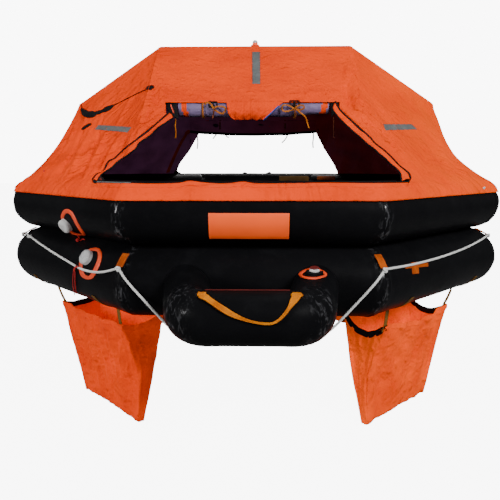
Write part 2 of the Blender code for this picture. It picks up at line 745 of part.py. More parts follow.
handle = pivoted("ramp_handle", "webbing_orange", mesh_from("ramp_handle", build_handle), handle_pivot)
for where, sign in (("left", -1), ("right", 1)):
    def build_hem(bm):
        bmesh.ops.create_cone(bm, cap_ends=True, segments=12,
                              radius1=HANDLE_HEM_RADIUS, radius2=HANDLE_HEM_RADIUS, depth=HANDLE_WIDTH,
                              matrix=Matrix.Translation((sign * HANDLE_HALF, 0, 0))
                              @ Matrix.Rotation(math.pi / 2, 4, "Y"))

    hem = add_object(f"handle_hem_{where}", mesh_from("hem", build_hem))
    hem.location = handle_pivot
    cut(handle, hem, "UNION")

# Sewn tabs that the handle's ends hang from, flat on the bolster above them
for name, sign in (("handle_tab_left", -1), ("handle_tab_right", 1)):
    tab_angle = HANDLE_PIVOT_ANGLE + (HANDLE_HEM_RADIUS + HANDLE_HEM_CLEARANCE + TAB_LENGTH / 2) / RAMP_RADIUS
    frame = (Matrix.Translation(bolster_point(sign * HANDLE_HALF, tab_angle, 0))
             @ Matrix.Rotation(math.pi / 2 - tab_angle, 4, "X")
             @ Matrix.Translation((0, 0, RAMP_RADIUS + GAP + TAB_THICKNESS / 2)))

    def build_tab(bm):
        bmesh.ops.create_cube(bm, size=1, matrix=Matrix.Diagonal((HANDLE_WIDTH, TAB_LENGTH, TAB_THICKNESS, 1)))

    place(add_object(name, mesh_from(name, build_tab), "webbing_orange"), frame)


# Water bags under the four diagonal sides, each with four webbing straps sewn on

def wedge(bm):
    bmesh.ops.create_cube(bm, size=1)
    for vert in bm.verts:
        top = vert.co.z > 0
        outer = vert.co.y < 0
        place_at = {(True, True): BAG_TOP_OUTER, (True, False): BAG_TOP_INNER,
                    (False, True): BAG_BOTTOM_OUTER, (False, False): BAG_BOTTOM_INNER}[(top, outer)]
        half = BAG_HALF_TOP if top else BAG_HALF_BOTTOM
        vert.co = Vector((math.copysign(half, vert.co.x), -place_at[0], place_at[1]))


def build_bag(bm):
    wedge(bm)
    lid = max(bm.faces, key=lambda face: face.calc_center_median().z)
    bmesh.ops.delete(bm, geom=[lid], context="FACES_ONLY")


def strap_box(name, x, distance, low, high):
    def build(bm):
        bmesh.ops.create_cube(bm, size=1, matrix=Matrix.Translation((x, -distance, (low + high) / 2))
                              @ Matrix.Diagonal((BAG_STRAP_WIDTH, WEBBING_THICKNESS, high - low, 1)))
    return add_object(name, mesh_from(name, build))


BAG_SIDES = {"ballast_bag_front_left": 1, "ballast_bag_rear_left": 3,
             "ballast_bag_rear_right": 5, "ballast_bag_front_right": 7}
STRAP_TUCK = 0.030          # how far a strap runs down the bag's wall
for name, side in BAG_SIDES.items():
    bag = add_object(name, mesh_from(name, build_bag), "canopy_orange")
    wall = bag.modifiers.new("wall", "SOLIDIFY")
    wall.thickness = BAG_WALL
    wall.offset = -1
    straps = []
    for row, (distance, height), ceiling in (("outer", BAG_TOP_OUTER, LOWER_Z - LOWER_TUBE_RADIUS / 2),
                                             ("inner", BAG_TOP_INNER, FLOOR_BOTTOM)):
        inset = distance - BAG_WALL if row == "outer" else distance + BAG_WALL
        for x in (-BAG_STRAP_PLACE, BAG_STRAP_PLACE):
            strap = strap_box(f"{name}_{row}_{'right' if x > 0 else 'left'}", x, inset,
                              height - STRAP_TUCK, ceiling - GAP)
            cut(bag, strap, "UNION")
            straps.append(strap)
    cut(bag, lower_cutter)
    turn = side_frame(side, 0, 0)
    for thing in (bag, *straps):
        place(thing, turn)


# Lifeline: one rope round the raft, knotted at the eight corners of the lower tube

def rope_distance(height):
    """How far out the rope lies: on the tube's upper face, or hanging from its widest part."""
    reach = LOWER_TUBE_RADIUS + ROPE_STANDOFF
    rise = max(height - LOWER_Z, 0)
    return LOWER_RING + math.sqrt(reach ** 2 - rise ** 2)


def knot_height(corner):
    return KNOT_LOW if corner % 8 in (0, 3, 4, 7) else KNOT_HIGH


# Sag of each span; side 0 is the front, then clockwise from above
ROPE_SAGS = [0.245, 0.049, 0.035, 0.035, 0.030, 0.035, 0.035, 0.020]


def lifeline_points():
    points = []
    for side, sag in enumerate(ROPE_SAGS):
        start, finish = (side - 1) % SIDES, side
        for i in range(ROPE_POINTS):
            u = (1 - math.cos(math.pi * i / ROPE_POINTS)) / 2    # closer together near the knots
            height = (knot_height(start) * (1 - u) + knot_height(finish) * u) - sag * 4 * u * (1 - u)
            distance = rope_distance(height)
            point = corner_point(start, distance, height).lerp(corner_point(finish, distance, height), u)
            points.append(point)
    return points


add_object("lifeline", tube_mesh("lifeline", lifeline_points(), ROPE_RADIUS, 2, cyclic=True), "rope_white")

# Webbing patches that hold the rope, one a corner
PATCH_WIDTH = 0.034
PATCH_LENGTH = 0.050
PATCH_THICKNESS = 0.004
KNOT_ROOM = 0.002           # between the rope and its patch
PATCH_NAMES = ["front_left", "left_front", "left_rear", "rear_left",
               "rear_right", "right_rear", "right_front", "front_right"]
for corner, where in enumerate(PATCH_NAMES):
    knot_angle = math.asin((knot_height(corner) - LOWER_Z) / (LOWER_TUBE_RADIUS + ROPE_STANDOFF))
    angle = knot_angle + (PATCH_LENGTH / 2 + ROPE_RADIUS + KNOT_ROOM) / LOWER_TUBE_RADIUS
    foot_point = corner_point(corner, LOWER_RING + LOWER_TUBE_RADIUS * math.cos(angle),
                              LOWER_Z + LOWER_TUBE_RADIUS * math.sin(angle))
    radial = Vector((foot_point.x, foot_point.y, 0)).normalized()
    # The mitre line is an ellipse, stretched sideways; this is its normal at that angle
    out = (radial * math.cos(angle) * math.cos(HALF_STEP) + Vector((0, 0, math.sin(angle)))).normalized()
    across = Vector((0, 0, 1)).cross(radial)
    up_slope = out.cross(across)
    axes = Matrix((across, up_slope, out)).transposed().to_4x4()

    def build_patch(bm):
        size = (PATCH_WIDTH, PATCH_LENGTH, PATCH_THICKNESS, 1)
        bmesh.ops.create_cube(bm, size=1, matrix=Matrix.Diagonal(size))

    place(add_object(f"lifeline_patch_{where}", mesh_from("patch", build_patch), "webbing_orange"),
          Matrix.Translation(foot_point + out * (GAP + PATCH_THICKNESS / 2)) @ axes)

# Rear ladder: webbing rails and treads, hung from a patch on the lower tube
LADDER_HALF = 0.180
LADDER_TOP = 0.085
LADDER_LENGTH = 0.520
LADDER_RAIL = 0.040
LADDER_TREAD = 0.045
LADDER_STEPS = 3
LADDER_STANDOFF = 0.0095    # middle of the webbing off the tube's widest part
LADDER_PATCH_LOW = LADDER_TOP + 0.0006
LADDER_PATCH_HIGH = LADDER_TOP + 0.029
ladder_y = OUTER_INRADIUS + LADDER_STANDOFF
ladder_pivot = Vector((0, ladder_y, LADDER_TOP))


def build_ladder():
    outline = [(-LADDER_HALF, 0), (LADDER_HALF, 0),
               (LADDER_HALF, -LADDER_LENGTH), (-LADDER_HALF, -LADDER_LENGTH)]
    pitch = (LADDER_LENGTH - LADDER_TREAD) / LADDER_STEPS
    inner = LADDER_HALF - LADDER_RAIL
    holes = []
    for i in range(LADDER_STEPS):
        top = -LADDER_TREAD - i * pitch
        low = top - (pitch - LADDER_TREAD)
        holes.append([(-inner, top), (inner, top), (inner, low), (-inner, low)])
    return outline_solid("rear_ladder", "webbing_orange", outline, WEBBING_THICKNESS / 2, STAND_UP, holes)


ladder = build_ladder()
ladder.location = ladder_pivot


def lower_tube_reach(height):
    """How far out the flat facets of the lower tube reach at a height."""
    corners = [(LOWER_RING + LOWER_TUBE_RADIUS * math.cos(a), LOWER_Z + LOWER_TUBE_RADIUS * math.sin(a))
               for a in tube_facets[:TUBE_SEGMENTS // 2]]
    for (high_out, high), (low_out, low) in zip(corners, corners[1:]):
        if low <= height <= high:
            return low_out + (high_out - low_out) * (height - low) / (high - low)
    return OUTER_INRADIUS


def build_ladder_patch(bm):
    """A block between the tube's facet and the plane of the ladder, just above the ladder's sewn edge."""
    bmesh.ops.create_cube(bm, size=1)
    for vert in bm.verts:
        height = LADDER_PATCH_HIGH if vert.co.z > 0 else LADDER_PATCH_LOW
        outside = ladder_y - WEBBING_THICKNESS / 2 - GAP
        out = outside if vert.co.y > 0 else lower_tube_reach(height) + GAP
        vert.co = Vector((math.copysign(LADDER_HALF, vert.co.x), out, height))


add_object("ladder_patch", mesh_from("ladder_patch", build_ladder_patch), "webbing_orange")

# Gas cylinder under the floor, with two webbing slings
CYLINDER_RADIUS = 0.057
CYLINDER_HALF = 0.200
CYLINDER_Y = 0.760
SLING_HALF_WIDTH = 0.020
SLING_THICKNESS = 0.003
SLING_PLACES = {"cylinder_sling_left": -0.110, "cylinder_sling_right": 0.110}
cylinder_z = FLOOR_BOTTOM - GAP - CYLINDER_RADIUS
CYLINDER_PROFILE = [(0, CYLINDER_HALF + 0.060), (0.012, CYLINDER_HALF + 0.060), (0.012, CYLINDER_HALF + 0.020),
                    (0.030, CYLINDER_HALF + 0.012), (CYLINDER_RADIUS, CYLINDER_HALF - 0.025),
                    (CYLINDER_RADIUS, -CYLINDER_HALF + 0.025), (0.035, -CYLINDER_HALF), (0, -CYLINDER_HALF)]
turned("gas_cylinder", "cylinder_grey", CYLINDER_PROFILE,
       Matrix.Translation((0, CYLINDER_Y, cylinder_z)) @ Matrix.Rotation(math.pi / 2, 4, "Y"), steps=24)

SLING_STEPS = 10
sling_inner = (CYLINDER_RADIUS + GAP) / math.cos(math.pi / (2 * SLING_STEPS))
sling_outer = sling_inner + SLING_THICKNESS
SLING_ANGLES = [math.pi + math.pi * i / SLING_STEPS for i in range(SLING_STEPS + 1)]
sling_top = FLOOR_BOTTOM - GAP - cylinder_z
sling_outline = ([(-sling_outer, sling_top)]
                 + [(sling_outer * math.cos(a), sling_outer * math.sin(a)) for a in SLING_ANGLES]
                 + [(sling_outer, sling_top), (sling_inner, sling_top)]
                 + [(sling_inner * math.cos(a), sling_inner * math.sin(a)) for a in reversed(SLING_ANGLES)]
                 + [(-sling_inner, sling_top)])
for name, x in SLING_PLACES.items():
    outline_solid(name, "webbing_orange", sling_outline, SLING_HALF_WIDTH,
                  Matrix.Translation((x, CYLINDER_Y, cylinder_z)) @ FACE_X)

# Righting strap across the underside of the floor
RIGHTING_HALF_LENGTH = 0.860
RIGHTING_HALF_WIDTH = 0.025


def build_righting_strap(bm):
    size = (2 * RIGHTING_HALF_LENGTH, 2 * RIGHTING_HALF_WIDTH, WEBBING_THICKNESS, 1)
    middle = Matrix.Translation((0, 0, FLOOR_BOTTOM - GAP - WEBBING_THICKNESS / 2))
    bmesh.ops.create_cube(bm, size=1, matrix=middle @ Matrix.Diagonal(size))


add_object("righting_strap", mesh_from("righting_strap", build_righting_strap), "webbing_orange")
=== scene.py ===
"""Looks of a six-person life raft: its cloth, rubber, webbing, rope and fittings, over the solids.

Metres, in the frame of the solids: +Z is up, -Y is the boarding side, the origin is at the waterline.
"""
from math import asin, atan2, ceil, copysign, cos, exp, hypot, pi, radians, remainder, sin, sqrt, tan

import bmesh
import bpy
from mathutils import Euler, Matrix, Vector, noise
from mathutils.bvhtree import BVHTree


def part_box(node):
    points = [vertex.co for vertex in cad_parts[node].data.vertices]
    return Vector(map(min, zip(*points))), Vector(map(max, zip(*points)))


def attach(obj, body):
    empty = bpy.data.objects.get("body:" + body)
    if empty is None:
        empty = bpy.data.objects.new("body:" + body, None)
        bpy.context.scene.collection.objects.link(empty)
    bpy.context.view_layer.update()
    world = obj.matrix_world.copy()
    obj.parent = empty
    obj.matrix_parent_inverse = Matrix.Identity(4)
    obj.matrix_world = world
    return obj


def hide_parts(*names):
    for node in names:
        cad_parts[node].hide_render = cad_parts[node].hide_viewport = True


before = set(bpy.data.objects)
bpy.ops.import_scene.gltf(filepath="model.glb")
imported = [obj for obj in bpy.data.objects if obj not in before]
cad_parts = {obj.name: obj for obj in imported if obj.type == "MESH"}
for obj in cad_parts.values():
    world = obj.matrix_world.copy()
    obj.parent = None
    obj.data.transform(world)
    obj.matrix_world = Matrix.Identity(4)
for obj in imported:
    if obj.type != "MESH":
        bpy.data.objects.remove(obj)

scene = bpy.context.scene
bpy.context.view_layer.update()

# Sizes shared with the solids
SIDES = 8
HALF_STEP = pi / SIDES
OUTER_INRADIUS = 1.100
DRAUGHT = 0.040
LOWER_RADIUS = 0.131
UPPER_RADIUS = 0.112
GAP = 0.0003
LOWER_Z = LOWER_RADIUS - DRAUGHT
LOWER_RING = OUTER_INRADIUS - LOWER_RADIUS
UPPER_RING = OUTER_INRADIUS - UPPER_RADIUS
UPPER_Z = LOWER_Z + sqrt((LOWER_RADIUS + UPPER_RADIUS + GAP) ** 2 - (UPPER_RING - LOWER_RING) ** 2)
CONTACT_ANGLE = atan2(UPPER_Z - LOWER_Z, UPPER_RING - LOWER_RING)
FACET = radians(15)
SKIRT_TOP = CONTACT_ANGLE + FACET
LANDING_ANGLE = CONTACT_ANGLE - 2 * FACET
HEM_ANGLE = CONTACT_ANGLE - 4 * FACET
SKIRT_RADIUS = UPPER_RADIUS + 0.0033
SHEET_ON_TUBE = SKIRT_RADIUS + GAP
LANDING_RING = UPPER_RING + SHEET_ON_TUBE * cos(LANDING_ANGLE)
LANDING_Z = UPPER_Z + SHEET_ON_TUBE * sin(LANDING_ANGLE)
UP = Vector((0, 0, 1))
BACK = Vector((0, 1, 0))
FRONT = -BACK

# Camera, at the photograph's angle
CAMERA_PLACE = Vector((0.0341, -2.8549, 0.4993))
CAMERA_TURN = Euler((pi / 2 - 0.1574, 0, 0.0212))
CAMERA_LENS = 38.14
SENSOR = 36
FRAME_SIZE = 500

lens = bpy.data.cameras.new("camera")
lens.lens = CAMERA_LENS
lens.sensor_width = SENSOR
camera = bpy.data.objects.new("camera", lens)
camera.location = CAMERA_PLACE
camera.rotation_euler = CAMERA_TURN
scene.collection.objects.link(camera)
scene.camera = camera


def sight(x, y, rear):
    """Where the camera is, and the direction of a place in its 500 by 500 frame; or their mirror image behind."""
    half = SENSOR / CAMERA_LENS / 2
    local = Vector(((2 * x / FRAME_SIZE - 1) * half, (1 - 2 * y / FRAME_SIZE) * half, -1))
    start, way = CAMERA_PLACE.copy(), (CAMERA_TURN.to_matrix() @ local).normalized()
    if rear:
        start.y, way.y = -start.y, -way.y
    return start, way


# Small helpers for numbers and lines

def ease(low, high, value):
    share = min(max((value - low) / (high - low), 0), 1)
    return share * share * (3 - 2 * share)


def ripple(x, y, z=0.0):
    return noise.noise(Vector((x, y, z)))


def side_axes(side):
    """Outward direction of one side of the octagon, and the direction along it."""
    angle = -pi / 2 - side * 2 * HALF_STEP
    out = Vector((cos(angle), sin(angle), 0))
    return out, Vector((-out.y, out.x, 0))


def on_side(side, along, distance, height):
    out, way = side_axes(side)
    return out * distance + way * along + UP * height


def corner_point(corner, distance, height):
    angle = -pi / 2 - (2 * corner + 1) * HALF_STEP
    reach = distance / cos(HALF_STEP)
    return Vector((reach * cos(angle), reach * sin(angle), height))


def tube_place(side, along, angle, ring, height, radius):
    """A point on a tube's surface and the way straight out of it."""
    out, _ = side_axes(side)
    normal = out * cos(angle) + UP * sin(angle)
    return on_side(side, along, ring, height) + normal * radius, normal


def flowing(points, step, closed=False):
    """A smooth line through the points, with a point about every step."""
    points = [Vector(p).to_3d() for p in points]
    count = len(points)
    line = []
    for i in range(count if closed else count - 1):
        if closed:
            a, b, c, d = (points[(i + k) % count] for k in (-1, 0, 1, 2))
        else:
            b, c = points[i], points[i + 1]
            a = points[i - 1] if i else b * 2 - c
            d = points[i + 2] if i + 2 < count else c * 2 - b
        pieces = max(1, ceil((c - b).length / step))
        for k in range(pieces):
            t = k / pieces
            line.append(0.5 * (2 * b + (c - a) * t + (2 * a - 5 * b + 4 * c - d) * t ** 2 + (3 * b - a - 3 * c + d)
                * t ** 3))
    if not closed:
        line.append(points[-1])
    return line


def line_length(line):
    return sum((b - a).length for a, b in zip(line, line[1:]))


def even_points(line, count, closed=False):
    """The line cut into equal steps."""
    line = list(line) + ([line[0]] if closed else [])
    total = line_length(line)
    result, walked, i = [], 0.0, 0
    for k in range(count):
        target = total * k / (count if closed else count - 1)
        while i < len(line) - 2 and walked + (line[i + 1] - line[i]).length < target:
            walked += (line[i + 1] - line[i]).length
            i += 1
        step = (line[i + 1] - line[i]).length
        result.append(line[i].lerp(line[i + 1], (target - walked) / step if step else 0))
    return result


def at_depth(x, y, depth, rear=False):
    """Where a place in the camera's frame meets an upright plane across the raft."""
    start, way = sight(x, y, rear)
    depth = -depth if rear else depth
    return start + way * ((depth - start.y) / way.y)


# Node trees

def add_node(tree, kind, inputs=None, **settings):
    made = tree.nodes.new("ShaderNode" + kind)
    for key, value in settings.items():
        setattr(made, key, value)
    for key, value in (inputs or {}).items():
        if isinstance(value, bpy.types.NodeSocket):
            tree.links.new(value, made.inputs[key])
        else:
            made.inputs[key].default_value = value
    return made


def sum_of(tree, operation, a, b=0.0, clamp=False):
    return add_node(tree, "Math", {0: a, 1: b}, operation=operation, use_clamp=clamp).outputs[0]


def plus(tree, a, b, clamp=False):
    return sum_of(tree, "ADD", a, b, clamp)


def times(tree, a, b, clamp=False):
    return sum_of(tree, "MULTIPLY", a, b, clamp)


def hypotenuse(tree, a, b):
    return sum_of(tree, "SQRT", plus(tree, times(tree, a, a), times(tree, b, b)))


def ranged(tree, value, first, last, low=0.0, high=1.0, **settings):
    """The value, spread from first..last to low..high."""
    return add_node(tree, "MapRange", {"Value": value, "From Min": first, "From Max": last, "To Min": low,
        "To Max": high}, **settings).outputs[0]


def mottle(tree, place, scale, detail, roughness=0.5, distortion=0.0, **settings):
    """A cloudy pattern."""
    return add_node(tree, "TexNoise", {"Vector": place, "Scale": scale, "Detail": detail, "Roughness": roughness,
        "Distortion": distortion}, **settings).outputs["Fac"]


def own_place(tree):
    return add_node(tree, "TexCoord").outputs["Object"]


def split(tree, vector):
    return add_node(tree, "SeparateXYZ", {0: vector}).outputs


GROUPS = {}
RAMP_CORNER_X, RAMP_CORNER_OUT = 0.215, 1.335


def new_group(name, inputs, outputs):
    """An empty node group; inputs are (name, value) and outputs are names, all plain numbers."""
    tree = GROUPS[name] = bpy.data.node_groups.new(name, "ShaderNodeTree")
    for label, value in inputs:
        tree.interface.new_socket(label, in_out="INPUT", socket_type="NodeSocketFloat").default_value = value
    for label in outputs:
        tree.interface.new_socket(label, in_out="OUTPUT", socket_type="NodeSocketFloat")
    return tree, tree.nodes.new("NodeGroupInput").outputs, tree.nodes.new("NodeGroupOutput").inputs


def make_weave():
    """Crossing threads, as Height."""
    tree, given, result = new_group("cloth_weave", [("Threads", 300.0)], ["Height"])
    place = own_place(tree)
    x, y, z = (add_node(tree, "TexWave", {"Vector": place, "Scale": given["Threads"], "Distortion": 0.6},
        bands_direction=way).outputs["Fac"] for way in "XYZ")
    tree.links.new(times(tree, plus(tree, plus(tree, x, y), z), 0.333), result["Height"])


def make_crumple():
    """Soft creases of handled cloth or rubber: Height, and Tint, a slow change over the surface."""
    tree, given, result = new_group("crumple", [("Size", 6.0), ("Sharpness", 0.5)], ["Height", "Tint"])
    place, size = own_place(tree), given["Size"]
    sharp = mottle(tree, place, times(tree, size, 2.3), 2.0, distortion=0.4, noise_type="RIDGED_MULTIFRACTAL")
    soft = mottle(tree, place, size, 3.0, distortion=0.7)
    tree.links.new(plus(tree, soft, times(tree, sharp, given["Sharpness"])), result["Height"])
    tree.links.new(mottle(tree, place, times(tree, size, 0.4), 2.0), result["Tint"])


def make_wear():
    """Rubbed and dusty places, as Mask: broken patches, more of them on what faces up."""
    tree, given, result = new_group("wear", [("Size", 14.0), ("Amount", 0.5)], ["Mask"])
    patch = mottle(tree, own_place(tree), given["Size"], 6.0, 0.7)
    facing = split(tree, add_node(tree, "NewGeometry").outputs["Normal"])["Z"]
    rubbed = times(tree, ranged(tree, patch, 0.48, 0.72), ranged(tree, facing, -0.6, 1.0, 0.25))
    tree.links.new(times(tree, rubbed, given["Amount"], True), result["Mask"])


def make_mitre():
    """Rubbed, glossy crinkles where a tube is mitred, as Scuff: near the eight corners and the ramp's two. Their
    lighter colour is partly wear and partly a painted highlight.
    """
    tree, given, result = new_group("mitre_crinkle", [("Size", 60.0), ("Reach", 0.030)], ["Scuff"])
    place = own_place(tree)
    parts = split(tree, place)
    around = sum_of(tree, "ARCTAN2", parts["Y"], parts["X"])
    ring = sum_of(tree, "PINGPONG", plus(tree, around, HALF_STEP), HALF_STEP)
    side = sum_of(tree, "SUBTRACT", sum_of(tree, "ABSOLUTE", parts["X"]), RAMP_CORNER_X)
    ramp = hypotenuse(tree, side, plus(tree, parts["Y"], RAMP_CORNER_OUT))
    near = sum_of(tree, "MINIMUM", ring, times(tree, ramp, 0.34))
    zone = ranged(tree, near, 0.004, given["Reach"], 1.0, 0.0, interpolation_type="SMOOTHSTEP")
    stretched = add_node(tree, "Mapping", {"Vector": place, "Scale": (1.0, 1.0, 0.35)}).outputs[0]
    fine = mottle(tree, stretched, given["Size"], 3.0, 0.65, 0.8)
    tree.links.new(times(tree, ranged(tree, fine, 0.54, 0.66), zone), result["Scuff"])


def make_pleat():
    """Soft folds that hang down a cloth round the raft, in patches, as Height."""
    tree, given, result = new_group("hanging_folds", [("Count", 30.0)], ["Height"])
    place = own_place(tree)
    parts = split(tree, place)
    share = sum_of(tree, "DIVIDE", given["Count"], hypotenuse(tree, parts["X"], parts["Y"]))
    round_raft = add_node(tree, "CombineXYZ", {"X": times(tree, parts["X"], share),
        "Y": times(tree, parts["Y"], share), "Z": times(tree, parts["Z"], 3.0)}).outputs[0]
    loose = ranged(tree, mottle(tree, place, 3.0, 1.0), 0.40, 0.62)
    low = ranged(tree, parts["Z"], 0.98, 0.62)
    tree.links.new(times(tree, mottle(tree, round_raft, 1.0, 2.0), times(tree, loose, low)), result["Height"])


def make_webbing():
    """Ribs of woven webbing and two rows of stitches near its edges, from the strap's own UV."""
    tree, given, result = new_group("webbing", [("Edge", 0.76)], ["Height", "Stitch"])
    place = split(tree, add_node(tree, "UVMap").outputs["UV"])
    along, across = place["X"], place["Y"]
    rib = sum_of(tree, "SINE", plus(tree, times(tree, along, 3900.0), times(tree, across, 20.0)))
    cross = sum_of(tree, "SINE", times(tree, across, 50.0))
    tree.links.new(plus(tree, times(tree, rib, 0.5), times(tree, cross, 0.5)), result["Height"])
    inward = sum_of(tree, "SUBTRACT", sum_of(tree, "ABSOLUTE", across), given["Edge"])
    row = sum_of(tree, "LESS_THAN", sum_of(tree, "ABSOLUTE", inward), 0.06)
    dash = sum_of(tree, "GREATER_THAN", sum_of(tree, "SINE", times(tree, along, 1570.0)), -0.3)
    tree.links.new(times(tree, row, dash), result["Stitch"])


for make_group in (make_weave, make_crumple, make_wear, make_mitre, make_pleat, make_webbing):
    make_group()


def use_group(tree, name, **values):
    made = add_node(tree, "Group", node_tree=GROUPS[name])
    for key, value in values.items():
        made.inputs[key].default_value = value
    return made.outputs


def blend_colour(tree, share, first, second):
    first, second = (c if isinstance(c, bpy.types.NodeSocket) else (*c, 1.0) for c in (first, second))
    return add_node(tree, "Mix", {"Factor": share, 6: first, 7: second}, data_type="RGBA").outputs[2]


def make_finish(name, colour, shade, roughness, crease, weave, worn=None, webbing=None, specular=0.4, metallic=0.0,
        coat=0.0, mitre=None, pleat=None):
    """A finish with its own slow change of colour, creases, threads and wear.

    crease is (size, sharpness, depth in mm), weave is (threads, depth in mm), worn is (size, amount, colour),
    webbing is where the stitches run, as a share of the half width, mitre is (size, colour) of the scuffs and
    painted glints where a tube is mitred, and pleat is (count, depth in mm) of hanging folds."""
    material = bpy.data.materials.new(name)
    material.use_nodes = True
    tree = material.node_tree
    shader = tree.nodes["Principled BSDF"]
    crumple = use_group(tree, "crumple", Size=crease[0], Sharpness=crease[1])
    base = blend_colour(tree, ranged(tree, crumple["Tint"], 0.35, 0.65), colour, shade)
    height = times(tree, crumple["Height"], crease[2])
    rough = ranged(tree, crumple["Height"], 0.2, 0.9, roughness - 0.06, roughness + 0.08)
    if weave:
        threads = use_group(tree, "cloth_weave", Threads=weave[0])["Height"]
        height = plus(tree, height, times(tree, threads, weave[1]))
    if webbing:
        strap = use_group(tree, "webbing", Edge=webbing)
        base = blend_colour(tree, strap["Stitch"], base, [min(1, 1.35 * c + 0.01) for c in colour])
        height = plus(tree, height, times(tree, strap["Height"], 0.18))
        height = plus(tree, height, times(tree, strap["Stitch"], 0.35))
    if worn:
        mask = use_group(tree, "wear", Size=worn[0], Amount=worn[1])["Mask"]
        base = blend_colour(tree, mask, base, worn[2])
        rough = plus(tree, rough, times(tree, mask, 0.2), True)
    if mitre:
        crinkle = use_group(tree, "mitre_crinkle", Size=mitre[0])["Scuff"]
        # Lighter grey at the mitres: partly rubbed wear, partly a painted highlight for the glints on the crinkles.
        base = blend_colour(tree, crinkle, base, mitre[1])
        height = plus(tree, height, times(tree, crinkle, 1.2))
        tree.links.new(times(tree, crinkle, 0.8), shader.inputs["Coat Weight"])
    if pleat:
        folds = use_group(tree, "hanging_folds", Count=pleat[0])["Height"]
        height = plus(tree, height, times(tree, folds, pleat[1]))
    bump = add_node(tree, "Bump", {"Height": height, "Distance": 0.001, "Strength": 1.0})
    for key, made in (("Base Color", base), ("Roughness", rough), ("Normal", bump.outputs["Normal"])):
        tree.links.new(made, shader.inputs[key])
    for key, value in (("Metallic", metallic), ("Specular IOR Level", specular), ("Coat Weight", coat),
            ("Coat Roughness", 0.2)):
        shader.inputs[key].default_value = value
    return material


def painted_glow(finish, left, right, strength, first=-0.5, last=0.4):
    """Painted light: a patchy glow that brightens a finish, from one side of the raft to the other, in place of
    light through the cloth or falling on it.
    """
    tree = FINISHES[finish].node_tree
    place = own_place(tree)
    across = ranged(tree, split(tree, place)["X"], first, last)
    patchy = mottle(tree, place, 9.0, 3.0)
    colour = blend_colour(tree, patchy, (0.0, 0.0, 0.0), blend_colour(tree, across, left, right))
    shader = tree.nodes["Principled BSDF"]
    tree.links.new(colour, shader.inputs["Emission Color"])
    shader.inputs["Emission Strength"].default_value = strength


